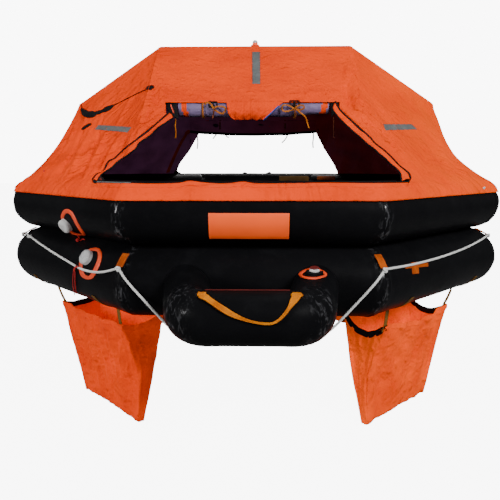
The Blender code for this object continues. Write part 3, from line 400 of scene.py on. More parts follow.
FINISHES = {
    "canopy": make_finish("canopy_cloth", (0.95, 0.063, 0.001), (0.80, 0.049, 0.001), 0.62, (12.0, 0.7, 13.0),
    (330.0, 0.10), (9.0, 0.08, (0.70, 0.06, 0.01)), specular=0.04, pleat=(30.0, 34.0)),
    "lining": make_finish("lining_cloth", (0.26, 0.09, 0.21), (0.24, 0.05, 0.08), 0.75, (6.0, 0.5, 2.0),
    (330.0, 0.10), specular=0.1),
    "rubber": make_finish("tube_rubber", (0.0038, 0.0038, 0.0044), (0.0054, 0.0054, 0.0062), 0.36, (5.0, 0.30, 1.6),
    (420.0, 0.04), (16.0, 0.06, (0.05, 0.05, 0.055)), specular=0.018, mitre=(70.0, (0.045, 0.045, 0.050))),
    "bag": make_finish("bag_cloth", (0.95, 0.066, 0.002), (0.80, 0.046, 0.001), 0.60, (13.0, 0.7, 19.0),
    (300.0, 0.10), specular=0.05),
    "floor": make_finish("floor_rubber", (0.012, 0.012, 0.014), (0.018, 0.018, 0.020), 0.55, (8.0, 0.5, 1.5),
    (280.0, 0.15), (12.0, 0.25, (0.05, 0.048, 0.045)), specular=0.25),
    "door": make_finish("door_cloth", (0.135, 0.088, 0.190), (0.20, 0.145, 0.265), 0.50, (24.0, 1.0, 3.0),
    (330.0, 0.10), specular=0.3),
    "strap": make_finish("strap_webbing", (0.66, 0.200, 0.001), (0.46, 0.105, 0.001), 0.72, (45.0, 0.8, 0.8), None,
    (30.0, 0.35, (0.26, 0.08, 0.01)), webbing=0.76, specular=0.06),
    "patch": make_finish("patch_webbing", (0.48, 0.085, 0.004), (0.30, 0.045, 0.003), 0.72, (40.0, 0.8, 0.8), None,
    (55.0, 0.75, (0.13, 0.040, 0.008)), webbing=0.76, specular=0.10),
    "band": make_finish("inner_band", (0.30, 0.040, 0.010), (0.20, 0.025, 0.008), 0.75, (30.0, 0.3, 0.3), None,
    webbing=0.76, specular=0.1),
    "olive": make_finish("olive_webbing", (0.20, 0.095, 0.012), (0.14, 0.065, 0.010), 0.75, (30.0, 0.3, 0.3), None,
    webbing=0.76, specular=0.25),
    "black": make_finish("black_trim", (0.005, 0.005, 0.006), (0.009, 0.009, 0.010), 0.60, (40.0, 0.5, 0.5),
    (420.0, 0.08), specular=0.08),
    "rope": make_finish("rope_fibre", (0.62, 0.62, 0.60), (0.74, 0.74, 0.72), 0.78, (60.0, 0.5, 0.5), (500.0, 0.15),
    (40.0, 0.3, (0.40, 0.39, 0.36)), specular=0.3),
    "cap": make_finish("cap_plastic", (0.56, 0.56, 0.55), (0.47, 0.47, 0.47), 0.46, (25.0, 0.3, 0.3), None,
    (170.0, 0.8, (0.20, 0.20, 0.20)), specular=0.3),
    "ring": make_finish("valve_ring", (0.90, 0.070, 0.010), (0.80, 0.060, 0.009), 0.50, (30.0, 0.4, 0.4),
    (400.0, 0.06), (60.0, 0.5, (0.25, 0.05, 0.02)), specular=0.4),
    "maroon": make_finish("dark_red_edge", (0.10, 0.010, 0.008), (0.14, 0.012, 0.010), 0.55, (40.0, 0.5, 0.4),
    (400.0, 0.08), specular=0.25),
    "red": make_finish("red_cord", (0.55, 0.012, 0.012), (0.40, 0.010, 0.012), 0.50, (60.0, 0.5, 0.4),
    (500.0, 0.12), specular=0.35),
    "tape": make_finish("grey_tape", (0.085, 0.095, 0.095), (0.12, 0.13, 0.13), 0.35, (40.0, 0.5, 0.3),
    (180.0, 0.15), (80.0, 0.3, (0.30, 0.31, 0.31)), specular=0.5),
    "blue": make_finish("blue_piping", (0.03, 0.10, 0.42), (0.02, 0.07, 0.32), 0.5, (60.0, 0.5, 0.4), (500.0, 0.12),
    specular=0.3),
    "yellow_cord": make_finish("yellow_cord", (0.66, 0.19, 0.004), (0.48, 0.11, 0.004), 0.7, (60.0, 0.5, 0.4),
    (500.0, 0.15), specular=0.2),
    "cord_dull": make_finish("dull_tie_webbing", (0.42, 0.120, 0.010), (0.30, 0.075, 0.008), 0.75, (30.0, 0.3, 0.3),
    None, webbing=0.76, specular=0.2),
    "cord_brown": make_finish("brown_tie_webbing", (0.16, 0.035, 0.010), (0.09, 0.018, 0.008), 0.75,
    (30.0, 0.3, 0.3), None, webbing=0.76, specular=0.2),
    "sign": make_finish("sign_plate", (0.98, 0.100, 0.008), (0.94, 0.090, 0.007), 0.45, (12.0, 0.3, 0.5),
    (400.0, 0.04), specular=0.4),
    "metal": make_finish("painted_steel", (0.20, 0.21, 0.22), (0.24, 0.25, 0.26), 0.36, (12.0, 0.2, 0.2), None,
    (18.0, 0.5, (0.10, 0.09, 0.08)), specular=0.5, coat=0.3),
    "brass": make_finish("valve_brass", (0.45, 0.33, 0.13), (0.38, 0.27, 0.10), 0.34, (40.0, 0.3, 0.2), None,
    (60.0, 0.5, (0.14, 0.10, 0.05)), metallic=1.0),
    "lens": make_finish("lamp_lens", (0.40, 0.42, 0.45), (0.46, 0.48, 0.50), 0.14, (20.0, 0.1, 0.1), None,
    specular=0.6, coat=0.5),
}

# Painted light: the lining glows lilac on the left and dark red on the right, as if lit through the orange cloth.
painted_glow("lining", (0.17, 0.05, 0.14), (0.13, 0.008, 0.008), 0.22)
# Painted light: the inner band glows dark red, brightening it where it lies in shade inside the canopy.
painted_glow("band", (0.30, 0.025, 0.008), (0.30, 0.025, 0.008), 0.12)
# Painted light: the canopy glows towards its right side, brighter there than the lamps make it.
painted_glow("canopy", (0.0, 0.0, 0.0), (0.5, 0.20, 0.0), 0.35, 0.25, 0.95)
# Painted light: the bags glow orange, more towards the right, brighter than the lamps make them.
painted_glow("bag", (0.85, 0.050, 0.002), (1.15, 0.150, 0.002), 0.55)
# Painted light: the sign plate glows, brighter than the lamps make it.
painted_glow("sign", (0.9, 0.10, 0.01), (0.9, 0.10, 0.01), 0.36)


# Meshes

def keep(thing, slot=None, stands_for=(), body="raft"):
    """Fix a finished piece to its body and hide the solids that it stands for; the finish slot is not used."""
    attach(thing, body)
    if stands_for:
        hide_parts(*stands_for)
    return thing


def make_piece(name, points, faces, finishes, sharp=None):
    mesh = bpy.data.meshes.new(name)
    mesh.from_pydata([tuple(p) for p in points], [], faces)
    for finish in finishes:
        mesh.materials.append(FINISHES[finish])
    mesh.polygons.foreach_set("use_smooth", [True] * len(mesh.polygons))
    if sharp:
        mesh.set_sharp_from_angle(angle=radians(sharp))
    mesh.update()
    thing = bpy.data.objects.new(name, mesh)
    scene.collection.objects.link(thing)
    return thing


def grid_faces(rows, columns, close_rows=False, close_columns=False):
    faces = []
    for r in range(rows if close_rows else rows - 1):
        here, after = r * columns, (r + 1) % rows * columns
        for c in range(columns if close_columns else columns - 1):
            n = (c + 1) % columns
            faces.append((here + c, here + n, after + n, after + c))
    return faces


def rows_of(rows, columns, place):
    """A grid of points from place(row, column)."""
    return [[place(i, j) for j in range(columns)] for i in range(rows)]


def grid_piece(name, rows, finishes, thickness=0.0, close_rows=False, close_columns=False, offset=-1.0):
    """A sheet through rows of points, thickened on one side."""
    thing = make_piece(name, [p for row in rows for p in row],
        grid_faces(len(rows), len(rows[0]), close_rows, close_columns), finishes)
    if thickness:
        thicken(thing, thickness, offset, 1 if len(finishes) > 1 else 0)
    return thing


def thicken(thing, thickness, offset=-1.0, second=0):
    wall = thing.modifiers.new("thickness", "SOLIDIFY")
    wall.thickness = thickness
    wall.offset = offset
    wall.use_even_offset = False
    wall.material_offset = second


def tidy_mesh(thing):
    bm = bmesh.new()
    bm.from_mesh(thing.data)
    bmesh.ops.remove_doubles(bm, verts=bm.verts, dist=0.00002)
    bmesh.ops.recalc_face_normals(bm, faces=bm.faces)
    bm.to_mesh(thing.data)
    bm.free()
    return thing


def frames_along(line, outs=None, closed=False):
    """(point, across, out) at each point of a line."""
    count, result, last = len(line), [], None
    if isinstance(outs, Vector):
        outs = [outs] * count
    for i, point in enumerate(line):
        before = line[i - 1] if i or closed else line[0]
        after = line[(i + 1) % count] if i < count - 1 or closed else line[-1]
        along = (after - before).normalized()
        out = outs[i] if outs else last
        if out is None:
            out = UP if abs(along.z) < 0.9 else Vector((1, 0, 0))
        out = (out - along * out.dot(along)).normalized()
        last = out
        result.append((point, along.cross(out), out))
    return result


def strap_section(width, thickness):
    half, edge = width / 2, thickness * 0.35
    return [(-half, edge), (-half, thickness - edge), (-half + edge, thickness), (half - edge, thickness),
        (half, thickness - edge), (half, edge), (half - edge, 0), (-half + edge, 0)]


def round_section(radius, segments=8):
    return [(radius * cos(2 * pi * i / segments), radius * sin(2 * pi * i / segments)) for i in range(segments)]


def sweep(name, line, section, finishes, outs=None, closed=False, sizes=None, sharp=38):
    """A closed section of (across, out) pairs, carried along a line of points, or of points with their normals.

    Its UV is metres along and the share of its half width across."""
    if isinstance(line[0], tuple):
        line, outs = zip(*line)
    points, count = [], len(section)
    walked, distances = 0.0, []
    half = max(a for a, _ in section)
    for i, (point, across, out) in enumerate(frames_along(line, outs, closed)):
        wide, high = (1.0, 1.0) if not sizes else sizes[i] if isinstance(sizes[i], tuple) else (sizes[i], sizes[i])
        points += [point + across * a * wide + out * b * high for a, b in section]
        walked += (point - line[i - 1]).length if i else 0
        distances.append(walked)
    faces = grid_faces(len(line), count, closed, True)
    if not closed:
        last = (len(line) - 1) * count
        faces += [tuple(range(count)), tuple(last + i for i in reversed(range(count)))]
    thing = make_piece(name, points, faces, finishes, sharp)
    layer = thing.data.uv_layers.new(name="strap").data
    for face in thing.data.polygons:
        for corner, vertex in zip(face.loop_indices, face.vertices):
            layer[corner].uv = (distances[vertex // count], section[vertex % count][0] / half)
    return tidy_mesh(thing)


def strap(name, line, width, thickness, finish, outs=None, slot=None, stands_for=(), **settings):
    return keep(sweep(name, line, strap_section(width, thickness), [finish], outs, **settings), slot, stands_for)


def round_cord(name, line, radius, finish, outs=None, segments=8):
    return keep(sweep(name, line, round_section(radius, segments), [finish], outs))


def join_pieces(name, things):
    """One object from several, keeping the first one's name place."""
    bm = bmesh.new()
    finishes = []
    for thing in things:
        slots = []
        for finish in thing.data.materials:
            if finish not in finishes:
                finishes.append(finish)
            slots.append(finishes.index(finish))
        before = len(bm.faces)
        bm.from_mesh(thing.data)
        bm.faces.ensure_lookup_table()
        for face in bm.faces[before:]:
            face.material_index = slots[face.material_index]
    mesh = bpy.data.meshes.new(name)
    bm.to_mesh(mesh)
    bm.free()
    for finish in finishes:
        mesh.materials.append(finish)
    for thing in things:
        bpy.data.objects.remove(thing, do_unlink=True)
    joined = bpy.data.objects.new(name, mesh)
    scene.collection.objects.link(joined)
    return joined


def turned(name, profile, matrix, finishes, segments=32, slots=None):
    """A profile of (radius, height) pairs turned about z and then placed."""
    rows = [[matrix @ Vector((r * cos(2 * pi * i / segments), r * sin(2 * pi * i / segments), z))
        for i in range(segments)] for r, z in profile]
    thing = grid_piece(name, rows, finishes, close_columns=True)
    if slots:
        for face in thing.data.polygons:
            face.material_index = slots[min(face.index // segments, len(slots) - 1)]
    thing = tidy_mesh(thing)
    thing.data.set_sharp_from_angle(angle=radians(38))
    return thing


# Cords that hang free

def free_cord(name, points, diameter, finish):
    line = flowing(points, 0.004)
    curve = bpy.data.curves.new(name, "CURVE")
    curve.dimensions = "3D"
    curve.bevel_depth = diameter / 2
    curve.bevel_resolution = 3
    curve.use_fill_caps = True
    spline = curve.splines.new("POLY")
    spline.points.add(len(line) - 1)
    for held, point in zip(spline.points, line):
        held.co = (*point, 1)
    spline.use_smooth = True
    curve.materials.append(FINISHES[finish])
    thing = bpy.data.objects.new(name, curve)
    scene.collection.objects.link(thing)
    keep(thing)
    round(line_length(line), 4)


# Inflated tubes

TUBE_STATIONS = 44
TUBE_SEGMENTS = 60
HEM_STATIONS = 40
DOORWAY_HALF = 0.575
SILL_BLACK, FOOT_BLACK = 0.4385, 0.4315        # the hem shows black above these heights, at a sill and elsewhere
PUCKER_REACH = 0.045
SEAM_TAPE = 0.018


def tube_swell(side, share, angle, from_corner, seed):
    """How far a tube's skin stands off its true round: puckers at the mitres, a seam tape, soft dents."""
    near = exp(-(from_corner / PUCKER_REACH) ** 2)
    patch = ease(-0.1, 0.5, ripple(angle * 1.3, side * 3.7 + share * 0.5, seed))
    comb = sin(from_corner * 330 + 3 * ripple(angle * 2.2, side * 1.9, seed + 4))
    pucker = 0.0032 * near * (0.35 + patch) * comb
    groove = -0.0030 * exp(-(from_corner / 0.010) ** 2)
    tape = 0.0008 * (1 - ease(SEAM_TAPE, SEAM_TAPE + 0.004, from_corner))
    soft = 0.0012 * ripple(share * 3 + side * 5, angle * 1.5, seed + 9)
    return pucker + groove + tape + soft


def ring_tube(name, ring, height, radius, seed, slot, contact):
    def place(row, j):
        side, share = -(row // TUBE_STATIONS) % SIDES, 2 * (row % TUBE_STATIONS) / TUBE_STATIONS - 1
        share = copysign(1 - (1 - abs(share)) ** 1.5, share)    # closer together at the mitres
        angle = 2 * pi * j / TUBE_SEGMENTS
        half = (ring + radius * cos(angle)) * tan(HALF_STEP)
        swell = tube_swell(side, share, angle, half * (1 - abs(share)), seed)
        # The two tubes are pressed together all the way round
        pressed = exp(-((remainder(angle - contact, 2 * pi)) / 0.11) ** 2)
        reach = radius + swell + (0.0032 - swell) * pressed
        return on_side(side, share * half, ring + reach * cos(angle), height + reach * sin(angle))

    rows = rows_of(SIDES * TUBE_STATIONS, TUBE_SEGMENTS, place)
    return keep(tidy_mesh(grid_piece(name, rows, ["rubber"], close_rows=True, close_columns=True)), "tube_black",
        [slot])


lower_tube = ring_tube("lower_tube_skin", LOWER_RING, LOWER_Z, LOWER_RADIUS, 11.0, "lower_tube", CONTACT_ANGLE)
upper_tube = ring_tube("upper_tube_skin", UPPER_RING, UPPER_Z, UPPER_RADIUS, 47.0, "upper_tube", CONTACT_ANGLE + pi)


def tree_of(*things):
    """What a ray can hit: the finished surfaces of some pieces."""
    bpy.context.view_layer.update()
    graph = bpy.context.evaluated_depsgraph_get()
    points, faces = [], []
    for thing in things:
        mesh = thing.evaluated_get(graph).to_mesh()
        start = len(points)
        points += [thing.matrix_world @ v.co for v in mesh.vertices]
        faces += [tuple(start + i for i in face.vertices) for face in mesh.polygons]
        thing.evaluated_get(graph).to_mesh_clear()
    return BVHTree.FromPolygons(points, faces)


def seen(tree, x, y, rear=False, beyond=None):
    """The place and outward normal where the camera's frame shows a surface, or its mirror image behind.

    beyond is an upright plane across the raft that the sight starts from."""
    start, way = sight(x, y, rear)
    if beyond is not None:
        start = start + way * ((beyond - start.y) / way.y)
    place, normal, _, _ = tree.ray_cast(start, way)
    if place is None:
        return None
    return place, (normal if normal.dot(way) < 0 else -normal)


def line_on(tree, points, lift):
    """Places and outward normals on a surface, along a line given in the camera's frame."""
    found = (seen(tree, spot.x, spot.y) for spot in flowing(points, 1.5))
    return [(place + normal * lift, normal) for place, normal in filter(None, found)]


PAD_POINTS = 40


def pad_on(name, tree, outline, finish, thickness=0.002, rear=False, hole=None, lift=0.0, curved=True, beyond=None):
    """A flat piece that lies on a surface, from its outline in the camera's frame."""
    def edge_of(points):
        points = [Vector(p).to_3d() for p in points]
        return even_points(flowing(points, 1.0, closed=True) if curved else points, PAD_POINTS, closed=True)

    edge = edge_of(outline)
    middle = sum(edge, Vector()) / PAD_POINTS
    inner = edge_of(hole) if hole else [middle] * PAD_POINTS
    steps = [(0, 0), (0.07, 0.8), (0.16, 1), (0.4, 1), (0.7, 1), (0.9, 1), (1, 1)]
    if hole:
        steps = [(0, 0), (0.1, 0.8), (0.25, 1), (0.5, 1), (0.75, 1), (0.9, 0.8), (1, 0)]
    rows, last = [], seen(tree, middle.x, middle.y, rear, beyond)
    for share, rise in steps:
        row = []
        for outer, within in zip(edge, inner):
            spot = outer.lerp(within, share)
            last = seen(tree, spot.x, spot.y, rear, beyond) or last
            row.append(last[0] + last[1] * (lift + thickness * rise))
        rows.append(row)
    return keep(tidy_mesh(grid_piece(name, rows, [finish], close_columns=True)))


# Canopy: one sheet, from the arch down over the upper tube

ARCH_OUTLINE = [(-1.000, LANDING_Z), (-0.916, 0.822), (-0.486, 1.107), (0.486, 1.107), (0.916, 0.822),
    (1.000, LANDING_Z)]
SHEET_RADIUS = 0.073
SHEET_LIFT = 0.0030         # middle of the cloth over the solids' inner face
WRAP_STEPS = 16
SLOPE_STEPS = 92
HEM_STEPS = 8
FRONT_COLUMNS = (80, 48)        # boarding side, rear
DIAGONAL_COLUMNS = (48, 32, 96)        # front right, rear, front left
HALF_SIDE = LANDING_RING * tan(HALF_STEP)
FRONT_SAG = Vector((0, 0.011, -0.0167))
DIAGONAL_SAG = Vector((-0.016, 0.014, -0.026))
END_SAG = Vector((-0.0076, 0, -0.0025))


def arch_bends(distance):
    normals = []
    for (x0, z0), (x1, z1) in zip(ARCH_OUTLINE, ARCH_OUTLINE[1:]):
        along = Vector((x1 - x0, 0, z1 - z0)).normalized()
        normals.append(Vector((-along.z, 0, along.x)))
    result = []
    for i, (x, z) in enumerate(ARCH_OUTLINE):
        near, far = normals[max(i - 1, 0)], normals[min(i, len(normals) - 1)]
        middle = (near + far).normalized()
        mitre = middle / middle.dot(near)
        result.append((Vector((x, 0, z)) - mitre * distance, mitre))
    return result


def over_arch(bend):
    centre, mitre = bend
    angles = [radians(34) * i / WRAP_STEPS for i in range(WRAP_STEPS + 1)]
    return [centre + SHEET_RADIUS * (cos(a) * mitre - sin(a) * Vector((0, 1, 0))) for a in angles]


def mirrored(vector, left=False, rear=False):
    return Vector((-vector.x if left else vector.x, -vector.y if rear else vector.y, vector.z))


def sheet_column(tops, landing, sag):
    """Points from the arch down the slope and round the tube, with how far down each is."""
    column = [(p, 0.0) for p in tops]
    start = tops[-1]
    for i in range(1, SLOPE_STEPS + 1):
        v = i / SLOPE_STEPS
        column.append((start.lerp(landing, v) + sag * 4 * v * (1 - v), v))
    for i in range(1, HEM_STEPS + 1):
        angle = LANDING_ANGLE + (HEM_ANGLE - LANDING_ANGLE) * i / HEM_STEPS
        out = (UPPER_RING + SHEET_ON_TUBE * cos(angle)) / LANDING_RING
        column.append((Vector((landing.x * out, landing.y * out, UPPER_Z + SHEET_ON_TUBE * sin(angle))),
            1 + i / HEM_STEPS))
    return column


def sheet_panel(first, last, middle_sag, count):
    columns = []
    for i in range(count + 1):
        u = i / count
        tops = [a.lerp(b, u) for a, b in zip(first[0], last[0])]
        crown = 4 * u * (1 - u)
        sag = first[2].lerp(last[2], u) * (1 - crown) + middle_sag * crown
        columns.append(sheet_column(tops, first[1].lerp(last[1], u), sag))
    return columns


def end_panel(crease):
    tops, landing, crease_sag = crease
    edge = list(reversed(tops)) + [mirrored(p, rear=True) for p in tops[1:]]
    columns = []
    for i, top in enumerate(edge):
        u = i / (len(edge) - 1)
        crown = 4 * u * (1 - u)
        side_sag = crease_sag if u < 0.5 else mirrored(crease_sag, rear=True)
        columns.append(sheet_column([top], landing.lerp(mirrored(landing, rear=True), u),
            side_sag * (1 - crown) + END_SAG * crown))
    return columns


def mirror_panel(panel, left=False, rear=False):
    return [[(mirrored(p, left, rear), v) for p, v in column] for column in panel]


BENDS = arch_bends(SHEET_RADIUS + 0.004)
ridge_crease = (over_arch(BENDS[3]), Vector((HALF_SIDE, -LANDING_RING, LANDING_Z)), Vector((-0.003, 0.006, -0.010)))
shoulder_crease = (over_arch(BENDS[4]), Vector((LANDING_RING, -HALF_SIDE, LANDING_Z)),
    Vector((-0.044, 0.010, -0.034)))
left_ridge_crease = ([mirrored(p, left=True) for p in ridge_crease[0]], mirrored(ridge_crease[1], left=True),
    mirrored(ridge_crease[2], left=True))
front_panel, rear_panel = (sheet_panel(left_ridge_crease, ridge_crease, FRONT_SAG, n) for n in FRONT_COLUMNS)
# The left side is pulled tighter than the right
tight_crease = (shoulder_crease[0], shoulder_crease[1], shoulder_crease[2] * 0.52)
diagonal_panel, rear_diagonal = (sheet_panel(ridge_crease, shoulder_crease, DIAGONAL_SAG, n)
    for n in DIAGONAL_COLUMNS[:2])
tight_rear_diagonal, fine_diagonal = (sheet_panel(ridge_crease, tight_crease, DIAGONAL_SAG, n)
    for n in DIAGONAL_COLUMNS[1:])
right_panel = end_panel(shoulder_crease)
left_panel = end_panel(tight_crease)
# In order round the raft, from the front towards the right
PANELS = [front_panel, diagonal_panel, right_panel, mirror_panel(rear_diagonal, rear=True)[::-1],
    mirror_panel(rear_panel, rear=True)[::-1], mirror_panel(tight_rear_diagonal, True, True),
    mirror_panel(left_panel, left=True)[::-1], mirror_panel(fine_diagonal, left=True)[::-1]]
SLACK = [0.45, 0.95, 0.8, 1.1, 0.5, 1.2, 0.9, 1.35]      # how loose each panel's cloth is


def flat_canopy():
    """The sheet before its wrinkles, as a bmesh with each point's turn round the raft and fall from the arch."""
    bm = bmesh.new()
    turn_of = bm.verts.layers.float.new("turn")
    fall_of = bm.verts.layers.float.new("fall")
    for index, panel in enumerate(PANELS):
        made = []
        for c, column in enumerate(panel):
            line = []
            for place, fall in column:
                vert = bm.verts.new(place)
                vert[turn_of] = index + c / (len(panel) - 1)
                vert[fall_of] = fall
                line.append(vert)
            made.append(line)
        for left, right in zip(made, made[1:]):
            for r in range(len(left) - 1):
                bm.faces.new((left[r], left[r + 1], right[r + 1], right[r]))
    bmesh.ops.remove_doubles(bm, verts=bm.verts, dist=0.00003)
    bmesh.ops.recalc_face_normals(bm, faces=bm.faces)
    bm.normal_update()
    return bm


def slack_at(turn):
    u = turn - int(turn)
    middle = 4 * u * (1 - u)
    return 0.6 * (1 - middle) + SLACK[int(turn) % SIDES] * middle


# Creases that the photograph shows: from, to in the frame, width and depth in mm
CREASES = [
    (160, 80, 163, 104, 13, 10), (154, 88, 158, 110, 12, -7), (140, 98, 160, 112, 13, 9),
    (148, 108, 138, 122, 13, 8), (156, 104, 146, 124, 12, -6), (350, 60, 345, 84, 13, 10),
    (345, 84, 349, 106, 12, -8), (354, 74, 357, 104, 12, 9), (350, 94, 366, 122, 13, 8),
    (357, 102, 376, 132, 13, -9), (364, 100, 390, 146, 14, 10), (378, 126, 402, 160, 13, -8),
    (374, 96, 400, 138, 16, 6), (396, 150, 420, 180, 14, 7), (440, 136, 446, 170, 18, 5),
    (456, 164, 470, 186, 18, 6), (424, 150, 432, 186, 18, -5), (132, 98, 118, 124, 14, 7),
    (124, 132, 104, 170, 14, 9), (116, 132, 96, 176, 13, -8), (108, 130, 86, 178, 14, 11),
    (100, 130, 77, 180, 13, -9), (92, 130, 66, 182, 14, 11), (84, 128, 56, 180, 13, -9), (78, 124, 46, 178, 14, 10),
    (72, 130, 36, 184, 14, -7), (390.5, 130, 393, 152, 8, -7), (381.5, 129, 386, 143, 8, -7),
    (347, 99, 349, 107, 8, -6), (353, 100, 352, 111, 8, -6), (386, 132, 389, 150, 9, 5), (134, 132, 128, 152, 9, 5),
    (127, 134, 119, 160, 9, -6), (150, 60, 176, 84, 16, 6), (160, 56, 190, 80, 16, -5), (90, 104, 86, 124, 12, 6),
    (104, 116, 100, 128, 12, -5), (106, 188, 180, 190.5, 10, 5), (150, 195, 250, 193.5, 11, -4),
    (200, 187.5, 300, 189, 10, 5), (270, 193, 380, 195, 11, -4), (330, 187.5, 402, 190, 10, 5),
    (396, 184, 440, 192, 12, 5), (190, 92, 230, 98, 13, 5), (286, 96, 330, 92, 13, 5),
]


def canopy_relief(turn, fall, place, creases):
    """How far the cloth stands off its flat sheet, in metres."""
    if fall <= 0:
        return 0.0
    around = turn * 2 * pi / SIDES
    x, y = cos(around), sin(around)
    free = ease(0.0, 0.22, fall)
    if fall > 1:
        lap = 0.0013 * ripple(x * 9, y * 9, fall * 9) + 0.0008 * ripple(x * 22, y * 22, fall * 5)
        return lap + 0.0008
    low = ease(0.25, 0.85, fall) * (1 - 0.75 * ease(0.93, 1.0, fall))
    folds = ripple(x * 12, y * 12, fall * 1.1) * 0.0100 * low + ripple(x * 27, y * 27, fall * 1.6 + 8) * 0.0056 * low
    folds += (0.5 - abs(ripple(x * 16 + 5, y * 16, fall * 4))) * 0.0030
    broad = ripple(x * 4, y * 4, fall * 2.5 + 3) * 0.0060
    slack = slack_at(turn)
    relief = (folds * slack + broad * slack) * free
    for start, end, width, depth in creases:
        along = end - start
        share = min(max((place - start).dot(along) / along.length_squared, 0), 1)
        away = (place - start - along * share).length / width
        if away < 3:
            relief += 1.5 * depth * exp(-away * away) * sin(pi * (0.1 + 0.8 * share)) * free
    # Near the tube the cloth can only stand off
    return max(relief, -0.001 - 0.030 * (1 - ease(0.84, 0.95, fall)))


DOOR_TOP = [(166, 100), (339, 100), (339, 113), (166, 113)]
DOOR_BODY = [(168.6, 112.8), (337, 106.6), (409.4, 179.6), (408, 184.2), (97, 184.2), (93.4, 181.2)]


def edge_planes(outline):
    centre = sum(outline, Vector()) / len(outline)
    planes = []
    for a, b in zip(outline, outline[1:] + outline[:1]):
        out = Vector((b.z - a.z, 0, a.x - b.x)).normalized()
        planes.append((a, out if out.dot(a - centre) > 0 else -out))
    return planes


def cut_doorway(bm, sign, outlines):
    """Cuts what lies within any of the outlines, given in x and z, out of one slope of the canopy."""
    def near(face):
        middle = face.calc_center_median()
        return middle.y * sign > 0.2 and abs(middle.x) < 0.66 and 0.40 < middle.z < 0.82

    shapes = [edge_planes(outline) for outline in outlines]
    for spot, out in [plane for planes in shapes for plane in planes]:
        faces = [f for f in bm.faces if near(f)]
        edges = list({e for f in faces for e in f.edges})
        verts = list({v for f in faces for v in f.verts})
        bmesh.ops.bisect_plane(bm, geom=faces + edges + verts, dist=0.0006, plane_co=spot, plane_no=out)
    gone = [f for f in bm.faces if near(f) and any(all((f.calc_center_median() - spot).dot(out) < 0 for spot,
        out in planes) for planes in shapes)]
    bmesh.ops.delete(bm, geom=gone, context="FACES")


flat = flat_canopy()
flat_tree = BVHTree.FromBMesh(flat)
creases = []
for x0, y0, x1, y1, width, depth in CREASES:
    start, end = seen(flat_tree, x0, y0)[0], seen(flat_tree, x1, y1)[0]
    narrow, deep = (0.85, 1.4) if x0 < 135 and y0 > 110 else (1, 1)      # sharper on the left
    creases.append((start, end, width / 1000 * narrow, depth / 1000 * deep))
turn_layer = flat.verts.layers.float["turn"]
fall_layer = flat.verts.layers.float["fall"]
moves = [v.normal * (SHEET_LIFT + canopy_relief(v[turn_layer], v[fall_layer], v.co, creases)) for v in flat.verts]
for vert, move in zip(flat.verts, moves):
    vert.co += move
canopy_tree = BVHTree.FromBMesh(flat)
door_outlines = []
for pixels in (DOOR_TOP, DOOR_BODY):
    places = [seen(canopy_tree, x, y)[0] for x, y in pixels]
    door_outlines.append([Vector((p.x, 0, p.z)) for p in places])
door_outlines[0][0].z = door_outlines[0][1].z = 0.770
for sign in (-1, 1):
    cut_doorway(flat, sign, door_outlines)
cut_area = sum(face.calc_area() for face in flat.faces)
canopy_mesh = bpy.data.meshes.new("canopy")
flat.to_mesh(canopy_mesh)
flat.free()
canopy_mesh.polygons.foreach_set("use_smooth", [True] * len(canopy_mesh.polygons))
for finish in ("canopy", "lining"):
    canopy_mesh.materials.append(FINISHES[finish])
canopy = bpy.data.objects.new("canopy", canopy_mesh)
scene.collection.objects.link(canopy)
thicken(canopy, 0.0015, -1.0, 1)
keep(canopy, "canopy_orange", ["canopy_front", "canopy_rear", "canopy_left", "canopy_right", "canopy_front_left",
    "canopy_front_right", "canopy_rear_left", "canopy_rear_right"])


def hem_band():
    """The cloth band under the canopy's foot, over the top of the upper tube."""
    def place(row, k):
        side, share = -(row // HEM_STATIONS) % SIDES, 2 * (row % HEM_STATIONS) / HEM_STATIONS - 1
        angle = SKIRT_TOP + (HEM_ANGLE + radians(3) - SKIRT_TOP) * k / 12
        reach = SKIRT_RADIUS - 0.0004 + 0.0010 * ripple(share * 6 + side * 9, k * 0.5, 3.1)
        if k == 0:
            angle += 0.0030 * ripple(share * 4 + side * 7, 2.0, 9.0) / reach
        ring = UPPER_RING + reach * cos(angle)
        return on_side(side, share * ring * tan(HALF_STEP), ring, UPPER_Z + reach * sin(angle))

    rows = rows_of(SIDES * HEM_STATIONS, 13, place)
    thing = tidy_mesh(grid_piece("canopy_hem", rows, ["canopy", "rubber"], close_rows=True))
    for face in thing.data.polygons:
        middle = face.center
        doorway = abs(middle.y) > 0.9 and abs(middle.x) < DOORWAY_HALF
        if middle.z > (SILL_BLACK if doorway else FOOT_BLACK):
            face.material_index = 1
    thicken(thing, 0.0014)
    return keep(thing, "canopy_orange", ["canopy_skirt"])


hem = hem_band()


# Arch, floor

def smooth_bends(points, radius, steps):
    line = [Vector(points[0])]
    for before, corner, after in zip(points, points[1:], points[2:]):
        before, corner, after = Vector(before), Vector(corner), Vector(after)
        to_before, to_after = (before - corner).normalized(), (after - corner).normalized()
        half = to_before.angle(to_after) / 2
        reach = radius / tan(half)
        centre = corner + (to_before + to_after).normalized() * radius / sin(half)
        first, last = corner + to_before * reach - centre, corner + to_after * reach - centre
        for i in range(steps + 1):
            line.append(centre + first.slerp(last, i / steps).normalized() * radius)
    line.append(Vector(points[-1]))
    return line


FLOOR_REACH = 0.894         # to the tube's inner side
arch_line = [(-0.930, 0, UPPER_Z + 0.095)] + [tuple(b) for b, _ in BENDS[1:5]] + [(0.930, 0, UPPER_Z + 0.095)]
keep(sweep("arch_tube_skin", smooth_bends(arch_line, 0.16, 12), round_section(0.070, 40), ["rubber"]),
    "tube_black", ["arch_tube"])


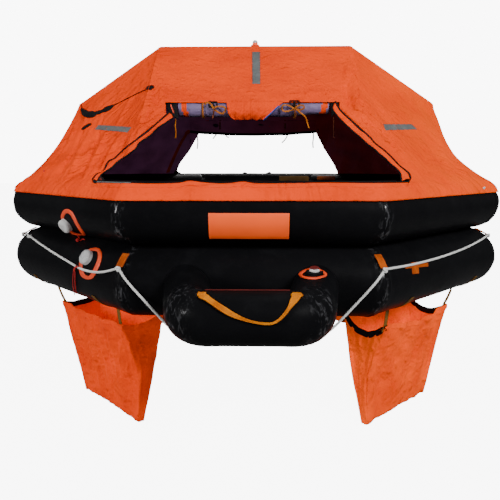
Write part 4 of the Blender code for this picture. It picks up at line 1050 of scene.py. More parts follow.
def floor_place(i, j):
    """A point of the floor, with soft quilting between its seams."""
    share, around = i / 40, 2 * pi * j / 96
    local = (around + HALF_STEP) % (2 * HALF_STEP) - HALF_STEP
    reach = FLOOR_REACH / cos(local) * share
    x, y = reach * cos(around - pi / 2), reach * sin(around - pi / 2)
    rise = 0.0022 * abs(sin(x * 16)) * abs(sin(y * 16)) + 0.0012 * ripple(x * 5, y * 5)
    return Vector((x, y, -0.0068 + rise * min(1, (1 - share) * 8)))


keep(tidy_mesh(grid_piece("floor_cloth", rows_of(41, 96, floor_place), ["floor"], 0.022, close_columns=True)),
    "floor_black", ["floor_sheet"])


# Boarding ramp

RAMP_RADIUS = 0.080
RAMP_FRONT = Vector((0, -1.330, 0.055))
RAMP_LINE = [(-0.227, -1.045, 0.0904), (-0.178, -1.330, 0.055), (0.178, -1.330, 0.055), (0.227, -1.045, 0.0904)]


def on_bolster(x, angle, depth=0.0):
    normal = Vector((0, -cos(angle), sin(angle)))
    return Vector((x, RAMP_FRONT.y, RAMP_FRONT.z)) + normal * (RAMP_RADIUS + depth), normal


def ramp_skin():
    frames = frames_along(even_points(smooth_bends(RAMP_LINE, 0.075, 14), 190), UP)
    corners = [Vector(RAMP_LINE[1]), Vector(RAMP_LINE[2])]

    def place(i, j):
        point, across, out = frames[i]
        near = sum(exp(-((point - c).length / 0.055) ** 2) for c in corners)
        walked, angle = i * 0.0052, 2 * pi * j / 48
        way = across * cos(angle) + out * sin(angle)
        patch = ease(-0.2, 0.5, ripple(angle * 1.4, walked * 3, 21.0))
        comb = sin(walked * 360 + 2.5 * ripple(angle * 2, walked * 4, 33.0))
        swell = 0.0032 * near * patch * comb + 0.0010 * ripple(walked * 9, angle, 4.0)
        swell += max(0, -way.z) ** 2 * (0.007 + 0.004 * near) * ease(-1.05, -1.30, point.y)
        return point + way * (RAMP_RADIUS + swell)

    thing = grid_piece("ramp_skin", rows_of(190, 48, place), ["rubber"], close_columns=True)
    return keep(tidy_mesh(thing), "tube_black", ["ramp_bolster"])


ramp = ramp_skin()


def deck_place(i, j):
    share, across = i / 24, 2 * j / 40 - 1
    y, z, half = -1.300 + 0.235 * share, 0.0587 + 0.0292 * share, 0.170 + 0.045 * share
    dip = 0.010 * (1 - across ** 4) * sin(pi * min(share * 1.3, 1))
    return Vector((across * half, y, z + 0.002 - dip + 0.003 * ripple(across * 4, share * 5, 2.0)))


keep(grid_piece("ramp_deck_cloth", rows_of(25, 41, deck_place), ["rubber"], 0.005), "tube_black", ["ramp_deck"])

# Dark edge sewn along the top of the ramp's front
strap("ramp_edge_strip", [on_bolster(x / 1000, radians(97), 0.0002) for x in range(-132, 121, 6)], 0.014, 0.0018,
    "maroon")

# Handle and its sewn tabs
HANDLE_HALF = 0.138
HANDLE_ANGLE = radians(64)
HANDLE_LOW = radians(4)
HANDLE_PLACE = 0.42         # where it hangs lowest, as a share of its half
HANDLE_HINGE = Vector((0, -1.366955, 0.130768))


def handle_strap():
    line, sizes = [], []
    for i in range(81):
        u = 2 * i / 80 - 1
        reach = 1 - HANDLE_PLACE if u > HANDLE_PLACE else 1 + HANDLE_PLACE
        drop = 1 - abs((u - HANDLE_PLACE) / reach) ** 2
        angle = HANDLE_ANGLE + (HANDLE_LOW - HANDLE_ANGLE) * drop
        place, normal = on_bolster(HANDLE_HALF * u, angle, 0.0030 + 0.0032 * ease(0, 0.12, 1 - abs(u)))
        twist = radians(38) * sin(pi * min(1, (1 - abs(u)) * 1.6)) * (1 if u > 0.2 else 0.55)
        line.append((place, (normal * cos(twist) + UP * sin(twist)).normalized()))
        thin = 0.34 + 0.56 * ease(0.10, -0.60, u) + 0.14 * ease(0.50, 0.80, u)
        end = 1 - ease(0.02, 0.20, 1 - abs(u))
        sizes.append((thin + (1.20 - thin) * end, 1.0))
    pieces = [sweep("handle_strap", line, strap_section(0.021, 0.0026), ["strap"], sizes=sizes)]
    for sign, wide in ((-1, 0.012), (1, 0.0162)):
        hem = [HANDLE_HINGE + Vector((sign * HANDLE_HALF + x * wide / 4, 0, 0)) for x in range(-4, 5)]
        pieces.append(sweep("handle_hem", hem, round_section(0.0040, 16), ["strap"], UP))
    keep(join_pieces("handle_webbing", pieces), "webbing_orange", ["ramp_handle"], "handle")


handle_strap()
low_angle = HANDLE_ANGLE + 0.0045 / RAMP_RADIUS
for where, sign, flare in (("left", -1, 1.0), ("right", 1, 1.6)):
    spots = [on_bolster(sign * HANDLE_HALF, low_angle + 0.013 / RAMP_RADIUS * i / 12, 0.0003) for i in range(13)]
    strap(f"handle_tab_sewn_{where}", spots, 0.024, 0.0030, "strap", None, "webbing_orange",
        [f"handle_tab_{where}"], sizes=[(1 + (flare - 1) * (1 - i / 12), 1.0) for i in range(13)])


# Valves: a round foot and a ribbed cap with a grip

VALVE_PROFILE = [(0.0290, 0.0002), (0.0292, 0.0030), (0.0284, 0.0042), (0.0272, 0.0046), (0.0284, 0.0062),
    (0.0290, 0.0090), (0.0284, 0.0122), (0.0266, 0.0150), (0.0236, 0.0174), (0.0196, 0.0194), (0.0150, 0.0207),
    (0.0112, 0.0213), (0.0104, 0.0206), (0.0092, 0.0206), (0.0084, 0.0216), (0.0050, 0.0222), (0.0, 0.0222)]


def valve(name, centre, normal, along, wide=1.0, flat=1.0):
    z = normal.normalized()
    x = (along - z * along.dot(z)).normalized()
    matrix = Matrix.Translation(centre) @ Matrix((x, z.cross(x), z)).transposed().to_4x4()

    def place(row, i):
        r, h = VALVE_PROFILE[row]
        turn = 2 * pi * i / 144
        rib = 0.0008 * cos(24 * turn) * ease(0.010, 0.016, r) if h > 0.005 else 0
        reach = (r + rib * 0.5) * (wide if h > 0.0045 else 1)
        return matrix @ Vector((reach * cos(turn), reach * sin(turn), (h + rib) * flat))

    rows = rows_of(len(VALVE_PROFILE), 144, place)
    cap = tidy_mesh(grid_piece(name + "_fitted", rows, ["cap", "black"], close_columns=True))
    for face in cap.data.polygons:
        face.material_index = 1 if face.index < 144 * 4 and wide < 1 else 0
    cap.data.set_sharp_from_angle(angle=radians(50))
    keep(cap, "valve_white", [name])


centre, normal = tube_place(1, 0.056, radians(-33), UPPER_RING, UPPER_Z, UPPER_RADIUS)
valve("upper_valve", centre, normal, side_axes(1)[1], flat=1.3)
centre, normal = tube_place(1, 0.214, radians(31), LOWER_RING, LOWER_Z, LOWER_RADIUS)
valve("lower_valve", centre, normal, side_axes(1)[1], flat=1.2)
leg_from, leg_to = Vector((0.178, -1.330, 0.055)), Vector((0.235, -1.000, 0.096))
leg_way = (leg_to - leg_from).normalized()
leg_up = (UP - leg_way * leg_way.z).normalized()
leg_top = leg_from.lerp(leg_to, 0.56) + leg_up * RAMP_RADIUS
leg_turn = leg_up.to_track_quat("Z", "Y").to_matrix().to_4x4()
valve("ramp_valve", leg_top, leg_up, leg_way, wide=0.58, flat=0.55)
keep(turned("ramp_valve_plug", [(0, 0.0095), (0.0150, 0.0100), (0.0158, 0.0125), (0.0140, 0.0150), (0.0060, 0.0160),
    (0, 0.0160)], Matrix.Translation(leg_top + leg_way * 0.006) @ leg_turn, ["maroon"]))


# Ballast bags, hung on webbing straps

BAG_NAMES = {1: "ballast_bag_front_left", 3: "ballast_bag_rear_left", 5: "ballast_bag_rear_right",
    7: "ballast_bag_front_right"}
BAG_LOW = -0.558
BAG_DROP = 40
BAG_STRAP = 0.235
WALLS = [(1, 0), (0, 1), (-1, 0), (0, -1)]        # the way out of a bag's walls: away from the raft, along the side


def bag_corners(v, side, door_end):
    """(distance, along) of the four corners at a share of the way down: outer two, then inner two.

    The corner nearer the doorway is drawn in half way down."""
    outer, inner = 0.975 - 0.070 * v, 0.772 + 0.103 * v
    drawn = 0.036 * sin(pi * min(v * 1.05, 1))
    back, front = 0.268 - 0.040 * v, 0.256 - 0.020 * v - (0.018 * (1 - v) if side in (5, 7) else 0)
    low, high = (-back, front) if door_end > 0 else (-front, back)
    return [(outer - (drawn if door_end < 0 else 0), low), (outer - (drawn if door_end > 0 else 0), high),
        (inner, high), (inner, low)]


def bag_top(wall, share, door_end, dip, sag):
    hang = 4 * share * (1 - share)
    if wall == 0:
        toward_side = 1 - share if door_end > 0 else share
        return -0.115 - dip * sin(pi * toward_side ** 1.25)
    if wall == 2:
        return -0.096 - 0.010 * hang
    high = (-0.115, -0.096) if wall == 1 else (-0.096, -0.115)
    return high[0] + (high[1] - high[0]) * share - sag * hang


def bag_bulge(wall, share, x, y, v, seed, to_corner):
    """How far the cloth stands off its flat wall; x and y are the turn round the bag, v is the share down."""
    fold = 0.0130 * ripple(x * 3.0 + seed, y * 3.0, v * 1.6) + 0.0090 * ripple(x * 8, y * 8 + seed, v * 1.8)
    fold += 0.0040 * (1 - 2 * abs(ripple(x * 12 + seed, y * 12, v * 5)))
    pulled = 0
    if wall == 0:
        fan = cos(atan2(to_corner, v + 0.05) * 15 + 1.5 * ripple(v * 3, share * 3, seed))
        fold += 0.0075 * fan * exp(-1.6 * hypot(v, to_corner)) * ease(0.04, 0.2, v)
        pulled = 0.007 * exp(-v * 5) * cos(share * 26)
    loose = 0.35 + 0.65 * sin(pi * min(v * 1.1, 1))
    rounded = 0.008 * (ease(0, 0.2, min(share, 1 - share)) - 1)
    return (0.004 * sin(pi * share) * sin(pi * v) + fold) * loose + rounded * 0.5 + pulled


def bag_hem(name, side, line, door_end, sizes):
    """Taped hem, in the cloth's own colour on the outer wall and dark elsewhere."""
    hem = sweep(name, line, strap_section(0.021, 0.0056), ["black", "bag"], closed=True, sizes=sizes)
    out, along = side_axes(side)
    for face in hem.data.polygons:
        door_wall = face.center.dot(along) * door_end > BAG_STRAP
        if face.center.dot(out) > 0.955 and not door_wall or door_wall and side in (1, 3):
            face.material_index = 1
    keep(hem)


def bag_straps(name, side, door_end):
    out, _ = side_axes(side)
    for t, end in ((-BAG_STRAP, "back"), (BAG_STRAP, "front")):
        at_door = t * door_end > 0
        shift = 0.0 if at_door else copysign(0.076, t)
        line = [tube_place(side, t + shift, radians(-34 - 54 * i / 8), LOWER_RING, LOWER_Z, LOWER_RADIUS + 0.0006)
            for i in range(9)]
        line += [(on_side(side, t + shift * (1 - share * 0.77), d, z), out) for share, d, z in (
            (0.25, 0.9740, -0.060), (0.6, 0.9705, -0.090), (1.0, 0.9665, -0.117), (1.0, 0.9600, -0.140))]
        strap(f"{name}_outer_{end}", line, 0.024 if at_door else 0.020, 0.0026, "olive")
        line = [on_side(side, t, 0.7755 - 0.002 * abs(i - 3) / 3, -0.0335 - 0.018 * i) for i in range(7)]
        strap(f"{name}_inner_{end}", line, 0.024, 0.0026, "olive", -out)


def ballast_bag(side, node):
    seed = side * 2.7
    door_end = 1 if side in (1, 5) else -1
    dip = 0.010 if side in (1, 5) else 0.030
    sag = 0.024 if side in (1, 3) else 0.056
    spots = [(wall, i / count) for wall, count in enumerate((56, 22, 56, 22)) for i in range(count)]

    def place(r, k):
        wall, share = spots[k]
        v, close = min(r / BAG_DROP, 1), max(r - BAG_DROP, 0) / 4
        corners = bag_corners(v, side, door_end)
        (d0, t0), (d1, t1) = corners[wall], corners[(wall + 1) % 4]
        x, y = cos(2 * pi * k / len(spots)), sin(2 * pi * k / len(spots))
        toward_side = 1 - share if door_end > 0 else share
        top = bag_top(wall, share, door_end, dip, sag) + 0.0035 * ripple(x * 6, y * 6 + seed)
        low = BAG_LOW + 0.005 + 0.005 * ripple(x * 5 + seed, y * 5)
        if wall == 0:
            low += 0.016 * ease(0.86, 1.0, toward_side) + 0.010 * sin(pi * toward_side)
        z = top + (low - top) * v
        bulge = bag_bulge(wall, share, x, y, v, seed, toward_side * 1.05)
        d = d0 + (d1 - d0) * share + WALLS[wall][0] * bulge
        t = t0 + (t1 - t0) * share + WALLS[wall][1] * bulge
        if close:
            d += (0.890 - d) * close
            t += (min(max(t, -0.215), 0.215) - t) * close
            z -= 0.002 * sin(pi / 2 * close)
        return on_side(side, t, d, max(z, BAG_LOW))

    rows = rows_of(BAG_DROP + 5, len(spots), place)
    thing = tidy_mesh(grid_piece(node + "_cloth", rows, ["bag"], close_columns=True))
    thicken(thing, 0.0014)
    keep(thing, "canopy_orange", [node])
    out, along = side_axes(side)
    outs = [(out * WALLS[wall][0] + along * WALLS[wall][1]).normalized() for wall, _ in spots]
    line = []
    for k, before in enumerate(outs[-1:] + outs[:-1]):
        normal = (before + outs[k] * 2 + outs[(k + 1) % len(outs)]).normalized()
        line.append((rows[0][k].lerp(rows[1][k], 0.75) - normal * 0.0034, normal))
    sizes = [(1 + (0.35 * sin(pi * share) if wall in (1, 3) else 0), 1.0) for wall, share in spots]
    bag_hem(node + "_hem", side, line, door_end, sizes)
    bag_straps(node + "_strap", side, door_end)


for side, node in BAG_NAMES.items():
    ballast_bag(side, node)


# Rolled-up doors

ROLL_DEPTH = -0.51


def roll_places(rear, *columns):
    """How far across some columns of the frame meet a roll."""
    return [at_depth(x, 110, ROLL_DEPTH, rear).x for x in columns]


def door_roll(name, node, sign):
    low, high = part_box(node)
    middle = (low + high) / 2
    bands = roll_places(sign > 0, 177, 182, 187, 321, 327, 333)
    ties = roll_places(sign > 0, 202.8, 253, 295)
    around, stations = 30, 90
    count = int(4.25 * around) + 1

    def place(i, k):
        x = low.x + 0.004 + (high.x - low.x - 0.008) * i / stations
        angle, slim = 2 * pi * k / around + 0.5, ease(0.10, 0.30, x)
        reach = 0.0065 + 0.0245 * (k / (count - 1))
        pinch = 1 - 0.13 * sum(exp(-((x - tie) / 0.014) ** 2) for tie in ties)
        reach *= pinch * (1 - 0.17 * slim) * (1 + 0.07 * ripple(x * 13, angle * 0.7, 5.0 + sign) + 0.035
            * ripple(x * 40, angle, 1.0))
        return Vector((x + 0.0035 * ripple(angle * 0.6, i / 30, 3.0), middle.y + sign * reach * 0.93 * cos(angle),
            middle.z + reach * 1.06 * sin(angle) + 0.003 * ripple(x * 5, 2.0, 7.0) + 0.005 * slim))

    rows = rows_of(stations + 1, count, place)
    thing = grid_piece(name, rows, ["door", "canopy", "black"])
    for face in thing.data.polygons:
        x = face.center.x + (0.15 if face.center.x < 0 else -0.22) * (face.center.z - middle.z)
        inside = bands[0] <= x <= bands[5]
        face.material_index = 1 if bands[1] < x < bands[2] or bands[3] < x < bands[4] else 0 if inside else 2
    thicken(thing, 0.0011)
    keep(thing, "door_lilac", [node])
    return middle


roll_middles = [door_roll("front_door_cloth", "front_door_roll", -1),
    door_roll("rear_door_cloth", "rear_door_roll", 1)]


# Lifeline: three twisted strands round the raft, knotted at the corners

ROPE_RADIUS = 0.005
ROPE_SAGS = [0.245, 0.049, 0.035, 0.035, 0.030, 0.035, 0.035, 0.020]


def knot_height(corner):
    return 0.155 if corner % SIDES in (0, 3, 4, 7) else 0.190


def rope_distance(height):
    rise = max(height - LOWER_Z, 0)
    return LOWER_RING + sqrt((LOWER_RADIUS + 0.0070) ** 2 - rise ** 2)


def rope_height(side, u):
    """Height of the rope at a share of its span; drawn straight where it is taut."""
    first, last = knot_height(side - 1), knot_height(side)
    if side == 0:
        near = min(u, 1 - u)
        taut, slack = first - 1.07 * near, -0.088 - 0.010 * sin(pi * u)
        return (taut + slack + sqrt((taut - slack) ** 2 + 0.0016)) / 2 - 0.0012
    if side == 1:
        sag = 0.012
        if u < 0.28:
            return first + (0.118 - first) * u / 0.28 - sag * sin(pi * u / 0.28)
        share = (u - 0.28) / 0.72
        return 0.118 + (last + 0.006 - 0.118) * share
    return first * (1 - u) + last * u - ROPE_SAGS[side] * 4 * u * (1 - u)


def lifeline():
    points = []
    for side in range(SIDES):
        for i in range(24):
            u = (1 - cos(pi * i / 24)) / 2
            height = rope_height(side, u)
            start, finish = (corner_point(corner, rope_distance(height), height) for corner in (side - 1, side))
            points.append(start.lerp(finish, u))
    line = even_points(flowing(points, 0.01, closed=True), 2160, closed=True)
    length = line_length(line + line[:1])
    lay = 2 * pi * (length / len(line)) * round(length / 0.036) / length
    frames = frames_along(line, [Vector((p.x, p.y, 0)).normalized() for p in line], closed=True)

    def place(i, j):
        point, across, out = frames[i]
        angle = 2 * pi * j / 15
        reach = ROPE_RADIUS * (0.72 + 0.22 * abs(cos(1.5 * (angle - i * lay))))
        return point + across * reach * cos(angle) + out * reach * sin(angle)

    rows = rows_of(len(line), 15, place)
    pieces = [tidy_mesh(grid_piece("lifeline_rope", rows, ["rope"], close_rows=True, close_columns=True))]
    for corner in range(SIDES):
        height = knot_height(corner)
        middle = corner_point(corner, rope_distance(height) + 0.003, height - 0.002)
        out = Vector((middle.x, middle.y, 0)).normalized()
        way = Vector((-out.y, out.x, 0))
        loop = []
        for i in range(60):
            t = 2 * pi * i / 60
            loop.append(middle + (way * (sin(t) + 2 * sin(2 * t)) + UP * (cos(t) - 2 * cos(2 * t)) - out * 1.1
                * sin(3 * t)) * 0.0024)
        pieces.append(sweep("knot", loop, round_section(0.0040, 10), ["rope"], out, closed=True, sharp=None))
    keep(join_pieces("lifeline_rope_knotted", pieces), "rope_white", ["lifeline"])


lifeline()

PATCH_NAMES = ["front_left", "left_front", "left_rear", "rear_left", "rear_right", "right_rear", "right_front",
    "front_right"]
for corner, where in enumerate(PATCH_NAMES):
    knot_angle = asin((knot_height(corner) - LOWER_Z) / (LOWER_RADIUS + 0.0070))
    line = []
    for i in range(17):
        share = i / 16
        angle = knot_angle + (0.004 + 0.054 * share) / LOWER_RADIUS
        place = corner_point(corner, LOWER_RING + LOWER_RADIUS * cos(angle), LOWER_Z + LOWER_RADIUS * sin(angle))
        radial = Vector((place.x, place.y, 0)).normalized()
        out = (radial * cos(angle) * cos(HALF_STEP) + UP * sin(angle)).normalized()
        line.append((place + out * (0.0012 + 0.004 * exp(-share * 6)), out))
    strap(f"rope_patch_{where}", line, 0.028, 0.0034, "patch", None, "webbing_orange", [f"lifeline_patch_{where}"])


# Sign plate on the front, blank

SIGN_HALF_WIDTH = 0.135
SIGN_HALF_HEIGHT = 0.0484


def sign_place(i, j):
    across, up = 2 * j / 48 - 1, i / 12 - 1
    from_rim = max((abs(across) - 1) * SIGN_HALF_WIDTH, (abs(up) - 1) * SIGN_HALF_HEIGHT)
    rise = 0.0013 + 0.0006 * ripple(across * 3, i / 9) - (0.0003 if -0.006 < from_rim < -0.003 else 0)
    return tube_place(0, -0.007 + SIGN_HALF_WIDTH * across, radians(5.5 - 49.5 * i / 24), UPPER_RING, UPPER_Z,
        UPPER_RADIUS + rise)[0]


keep(grid_piece("sign_plate_blank", rows_of(25, 49, sign_place), ["sign"], 0.0012), "webbing_orange", ["sign_plate"])

# Lamp on the ridge
lamp_profile = [(0.0, -0.0005), (0.0225, -0.0005), (0.0225, 0.0035), (0.0205, 0.0055), (0.0150, 0.0062),
    (0.0138, 0.0075), (0.0134, 0.0140), (0.0142, 0.0150), (0.0142, 0.0165), (0.0132, 0.0175), (0.0128, 0.0210),
    (0.0105, 0.0262), (0.0060, 0.0290), (0.0, 0.0300)]
keep(turned("ridge_lamp", lamp_profile, Matrix.Translation((0, 0, 1.1073)), ["sign", "lens"], 40,
    [0] * 6 + [1] * 7), "lamp_grey", ["canopy_lamp"])

# Rear ladder
LADDER_TOP = 0.085
LADDER_HALF, LADDER_RAIL = 0.178, 0.160        # half the treads' width, and where the rails hang
LADDER_STEP = 0.1583


def rear_ladder():
    pieces = []
    for x in (-LADDER_RAIL, LADDER_RAIL):
        line = [Vector((x + 0.0015 * ripple(i * 0.3, x * 9), 1.1095 + 0.0012 * ripple(i * 0.25, x * 5, 4.0),
            LADDER_TOP - 0.002 - 0.518 * i / 40)) for i in range(41)]
        pieces.append(sweep("rail", line, strap_section(0.040, 0.0026), ["strap"], BACK))
    for k in range(4):
        z = LADDER_TOP - 0.0225 - LADDER_STEP * k
        line = []
        for i in range(31):
            x = LADDER_HALF * (2 * i / 30 - 1)
            drop = 0.004 * (1 - (x / LADDER_HALF) ** 2) if k else 0
            line.append(Vector((x, 1.1098 + 0.0024 * exp(-((abs(x) - LADDER_RAIL) / 0.02) ** 2), z - drop)))
        pieces.append(sweep("tread", line, strap_section(0.045, 0.0026), ["strap"], BACK))
    keep(join_pieces("rear_ladder_webbing", pieces), "webbing_orange", ["rear_ladder"], "ladder")


rear_ladder()
pad_line = [Vector((-0.180 + 0.360 * i / 24, 1.0975, LADDER_TOP + 0.0150)) for i in range(25)]
strap("ladder_pad", pad_line, 0.028, 0.0098, "strap", BACK, "webbing_orange", ["ladder_patch"])

# Gas cylinder, its slings and the righting strap
CYLINDER_MIDDLE = Vector((0, 0.760, -0.0873))
cylinder_profile = [(0.0, -0.200)]
cylinder_profile += [(0.057 * sin(radians(a)), -0.170 - 0.030 * cos(radians(a))) for a in range(15, 91, 15)]
cylinder_profile += [(0.0572, -0.120), (0.0572, 0.0), (0.0572, 0.120)]
cylinder_profile += [(0.030 + 0.027 * cos(radians(a)), 0.172 + 0.038 * sin(radians(a))) for a in range(0, 91, 15)]
cylinder_profile += [(0.016, 0.2120), (0.0155, 0.2150), (0.0155, 0.2300), (0.0120, 0.2320), (0.0120, 0.2440),
    (0.0100, 0.2450), (0.0100, 0.2590), (0.0090, 0.2600), (0.0, 0.2600)]
spin = Matrix.Translation(CYLINDER_MIDDLE) @ Matrix.Rotation(pi / 2, 4, "Y")
brass_from = len(cylinder_profile) - 9
keep(turned("cylinder", cylinder_profile, spin, ["metal", "brass"], 64, [0] * brass_from + [1] * 8),
    "cylinder_grey", ["gas_cylinder"])
for where, x in (("left", -0.110), ("right", 0.110)):
    outs = [Vector((0, cos(pi + pi * i / 32), sin(pi + pi * i / 32))) for i in range(33)]
    line = [(CYLINDER_MIDDLE + Vector((x, 0, 0)) + out * 0.0576, out) for out in outs]
    ends = [(place + UP * 0.0565, out) for place, out in (line[0], line[-1])]
    strap(f"sling_{where}", ends[:1] + line + ends[1:], 0.040, 0.0028, "strap", None, "webbing_orange",
        [f"cylinder_sling_{where}"])
line = [Vector((-0.858 + 1.716 * i / 90, 0.002 * ripple(i * 0.1, 1.0), -0.0302)) for i in range(91)]
strap("righting_webbing", line, 0.050, 0.0028, "strap", -UP, "webbing_orange", ["righting_strap"])


# Pieces on the tubes, placed by what the camera sees

skin_tree = tree_of(lower_tube, upper_tube, hem)
ramp_tree = tree_of(ramp)

pad_on("upper_valve_ring", skin_tree, [(61.2, 218), (61.8, 213), (64.2, 209.6), (67.6, 208.9), (71.6, 211),
    (74.8, 216.4), (78.2, 223), (82.1, 229.5), (85.9, 235), (79, 235.4), (71.5, 233.6), (65, 227.5)], "ring",
    0.0030, hole=[(64.2, 219), (64.4, 215.8), (65.8, 213.6), (67.6, 213.1), (70.4, 214.8), (73.0, 219), (76.2, 225),
    (79.4, 230.5), (82.4, 234.0), (78, 233.6), (73, 231.8), (67.5, 226.5)])
pad_on("lower_valve_ring", skin_tree, [(86, 251), (92, 248), (99, 248), (102, 253), (101, 261), (97.5, 270),
    (93, 278), (87, 279.5), (81, 276), (79, 268), (80, 260), (82.5, 254)], "ring", 0.0030,
    hole=[(88, 253), (93, 251), (97, 251.5), (98, 255), (97, 261), (94, 268), (90, 275), (87, 275.8), (84, 273),
    (82.5, 267), (83.5, 260), (85.5, 256)])
pad_on("ramp_valve_ring", ramp_tree, [(299, 275), (305, 270.5), (313, 269), (321, 270.5), (327, 275.5), (321, 279),
    (313, 280), (304, 279)], "ring", 0.0030, lift=0.0025, hole=[(302.5, 275), (307, 271.8), (313, 270.8),
    (319, 271.8), (324, 275.3), (319, 277.6), (313, 278.3), (306, 277.6)])
for name, outline in (("tow_patch_level", [(405, 264.5), (428, 262.5), (428.5, 266.5), (405.5, 268.8)]),
        ("tow_patch_upright", [(411, 262.5), (417.5, 262), (418.5, 273.6), (412, 274.2)])):
    pad_on(name, skin_tree, outline, "patch", 0.0024, curved=False, lift=0.0016 if "upright" in name else 0.0)
pad_on("far_patch_left", skin_tree, [(27, 234), (32, 234.5), (32, 238.5), (27, 237.5)], "cap", 0.002, curved=False)

# Red lanyards of the valves
plug_at, plug_out = seen(skin_tree, 78.5, 241)
plug_axes = plug_out.to_track_quat("Z", "Y").to_matrix().to_4x4()
plug = keep(turned("upper_valve_plug", [(0, 0), (0.0072, 0.0003), (0.0080, 0.0030), (0.0072, 0.0085),
    (0.0050, 0.0110), (0, 0.0115)], Matrix.Translation(plug_at) @ plug_axes, ["red"], 24))
start = seen(skin_tree, 73, 233)
end = seen(skin_tree, 80, 240)
free_cord("upper_valve_lanyard", [start[0] + start[1] * 0.006, seen(skin_tree, 75, 236)[0] + start[1] * 0.012,
    seen(skin_tree, 78, 237)[0] + start[1] * 0.011, end[0] + end[1] * 0.006], 0.0040, "red")
line = line_on(skin_tree, [(80.5, 241.5), (82, 240.6), (84, 239.8), (85.2, 240.6)], 0.003)
round_cord("upper_valve_hook", line, 0.0024, "red", segments=10)


def red_strand(name, points):
    found = [(seen(skin_tree, *spot), lift) for spot, lift in points]
    free_cord(name, [place + normal * lift for (place, normal), lift in found], 0.0042, "red")


red_strand("lower_valve_cord_long", [((81.5, 266.6), 0.010), ((78.5, 268.2), 0.016), ((75.6, 270.5), 0.008),
    ((74.2, 275), 0.004), ((73.8, 281), 0.004), ((74.4, 287), 0.005), ((75.5, 293), 0.008)])
red_strand("lower_valve_cord_short", [((79.5, 265.8), 0.012), ((77.6, 269.6), 0.012), ((76.2, 274), 0.005),
    ((76.0, 281), 0.004), ((76.8, 287.5), 0.006), ((77.6, 292), 0.008)])


# Pieces on the canopy

def tape_on(name, corners, rear, frayed=False):
    """A strip of tape between four corners in the frame: along the top, then back along the bottom."""
    a, b, c, d = (Vector((x, y, 0)) for x, y in corners)

    def place(i, j):
        spot = a.lerp(b, i / 36).lerp(d.lerp(c, i / 36), j / 8)
        if frayed and i == 36:
            spot.x += 1.2 * ripple(j * 1.7, 3.0)
        found, normal = seen(canopy_tree, spot.x, spot.y, rear)
        return found + normal * (0.0004 + 0.0007 * (0.4 if j in (0, 8) or i in (0, 36) else 1))

    keep(grid_piece(name, rows_of(37, 9, place), ["tape"], 0.0005))


for rear, side in ((False, "front"), (True, "rear")):
    tape_on(f"tape_top_{side}", [(252, 52), (252.3, 84), (260.3, 84), (260, 52)], rear)
    tape_on(f"tape_left_{side}", [(98.6, 124.9), (131.6, 127.2), (127.6, 132.4), (94.4, 129.5)], rear, True)
    tape_on(f"tape_right_{side}", [(383, 124.2), (411.5, 124.2), (417.4, 129.4), (385.5, 130.4)], rear, True)


def seam_tapes():
    """Cloth strips over the seams between the panels."""
    pieces = []
    for index, panel in enumerate(PANELS):
        line = []
        for place, _ in panel[0][WRAP_STEPS if index % 4 in (0, 1) else 0:-1]:
            if index in (0, 1, 4, 5) and abs(place.y) > 0.3 and place.z < 0.655:
                break
            found, normal, _, _ = canopy_tree.find_nearest(place + Vector((0, 0, 0.003)))
            line.append((found + normal * 0.0001, normal))
        pieces.append(sweep("seam", line[::2], strap_section(0.022, 0.0011), ["canopy"]))
    keep(join_pieces("canopy_seam_tapes", pieces), "canopy_orange")


seam_tapes()

# Dark cord sewn on the left slope, with its toggles
line = line_on(canopy_tree, [(147, 89.5), (138, 93.5), (128, 98.5), (118, 103.5), (108, 108), (100, 112),
    (94, 113.5)], 0.0015)
round_cord("slope_cord", line, 0.0024, "black")
pad_on("slope_toggle_high", canopy_tree, [(146, 89.5), (149, 86.4), (153.6, 86), (154, 88.4), (150.5, 90.6)],
    "black", 0.006)
pad_on("slope_toggle_wedge", canopy_tree, [(114.6, 104.6), (113.4, 107), (109, 110.8), (103, 112.6), (96, 115.2),
    (95.6, 112.2), (102, 110.2), (107, 106.8)], "black", 0.0045)
pad_on("slope_toggle_blob", canopy_tree, [(81.4, 108.6), (86, 110.4), (90, 112.2), (96, 112.3), (96.4, 115.6),
    (91, 117.8), (84.5, 117.0), (81.6, 113.5)], "black", 0.009)
pad_on("slope_toggle_low", canopy_tree, [(81.6, 129.3), (84, 126.8), (90.6, 123.3), (91.3, 124.7), (86, 128.4),
    (82.6, 130)], "black", 0.004)
line = line_on(canopy_tree, [(83.5, 110.5), (82, 107.5), (81.4, 104.6)], 0.0014)
round_cord("slope_cord_end", line, 0.0020, "black")
pad_on("snap_right", canopy_tree, [(482.6, 188), (484, 186.8), (485.4, 188), (484, 189.4)], "cap", 0.003)
pad_on("dot_left", canopy_tree, [(43, 171), (44, 170.2), (45, 171), (44, 172)], "red", 0.002)


# Edges of the doorways: an outer trim, a loose strip of cloth, and its inner trim

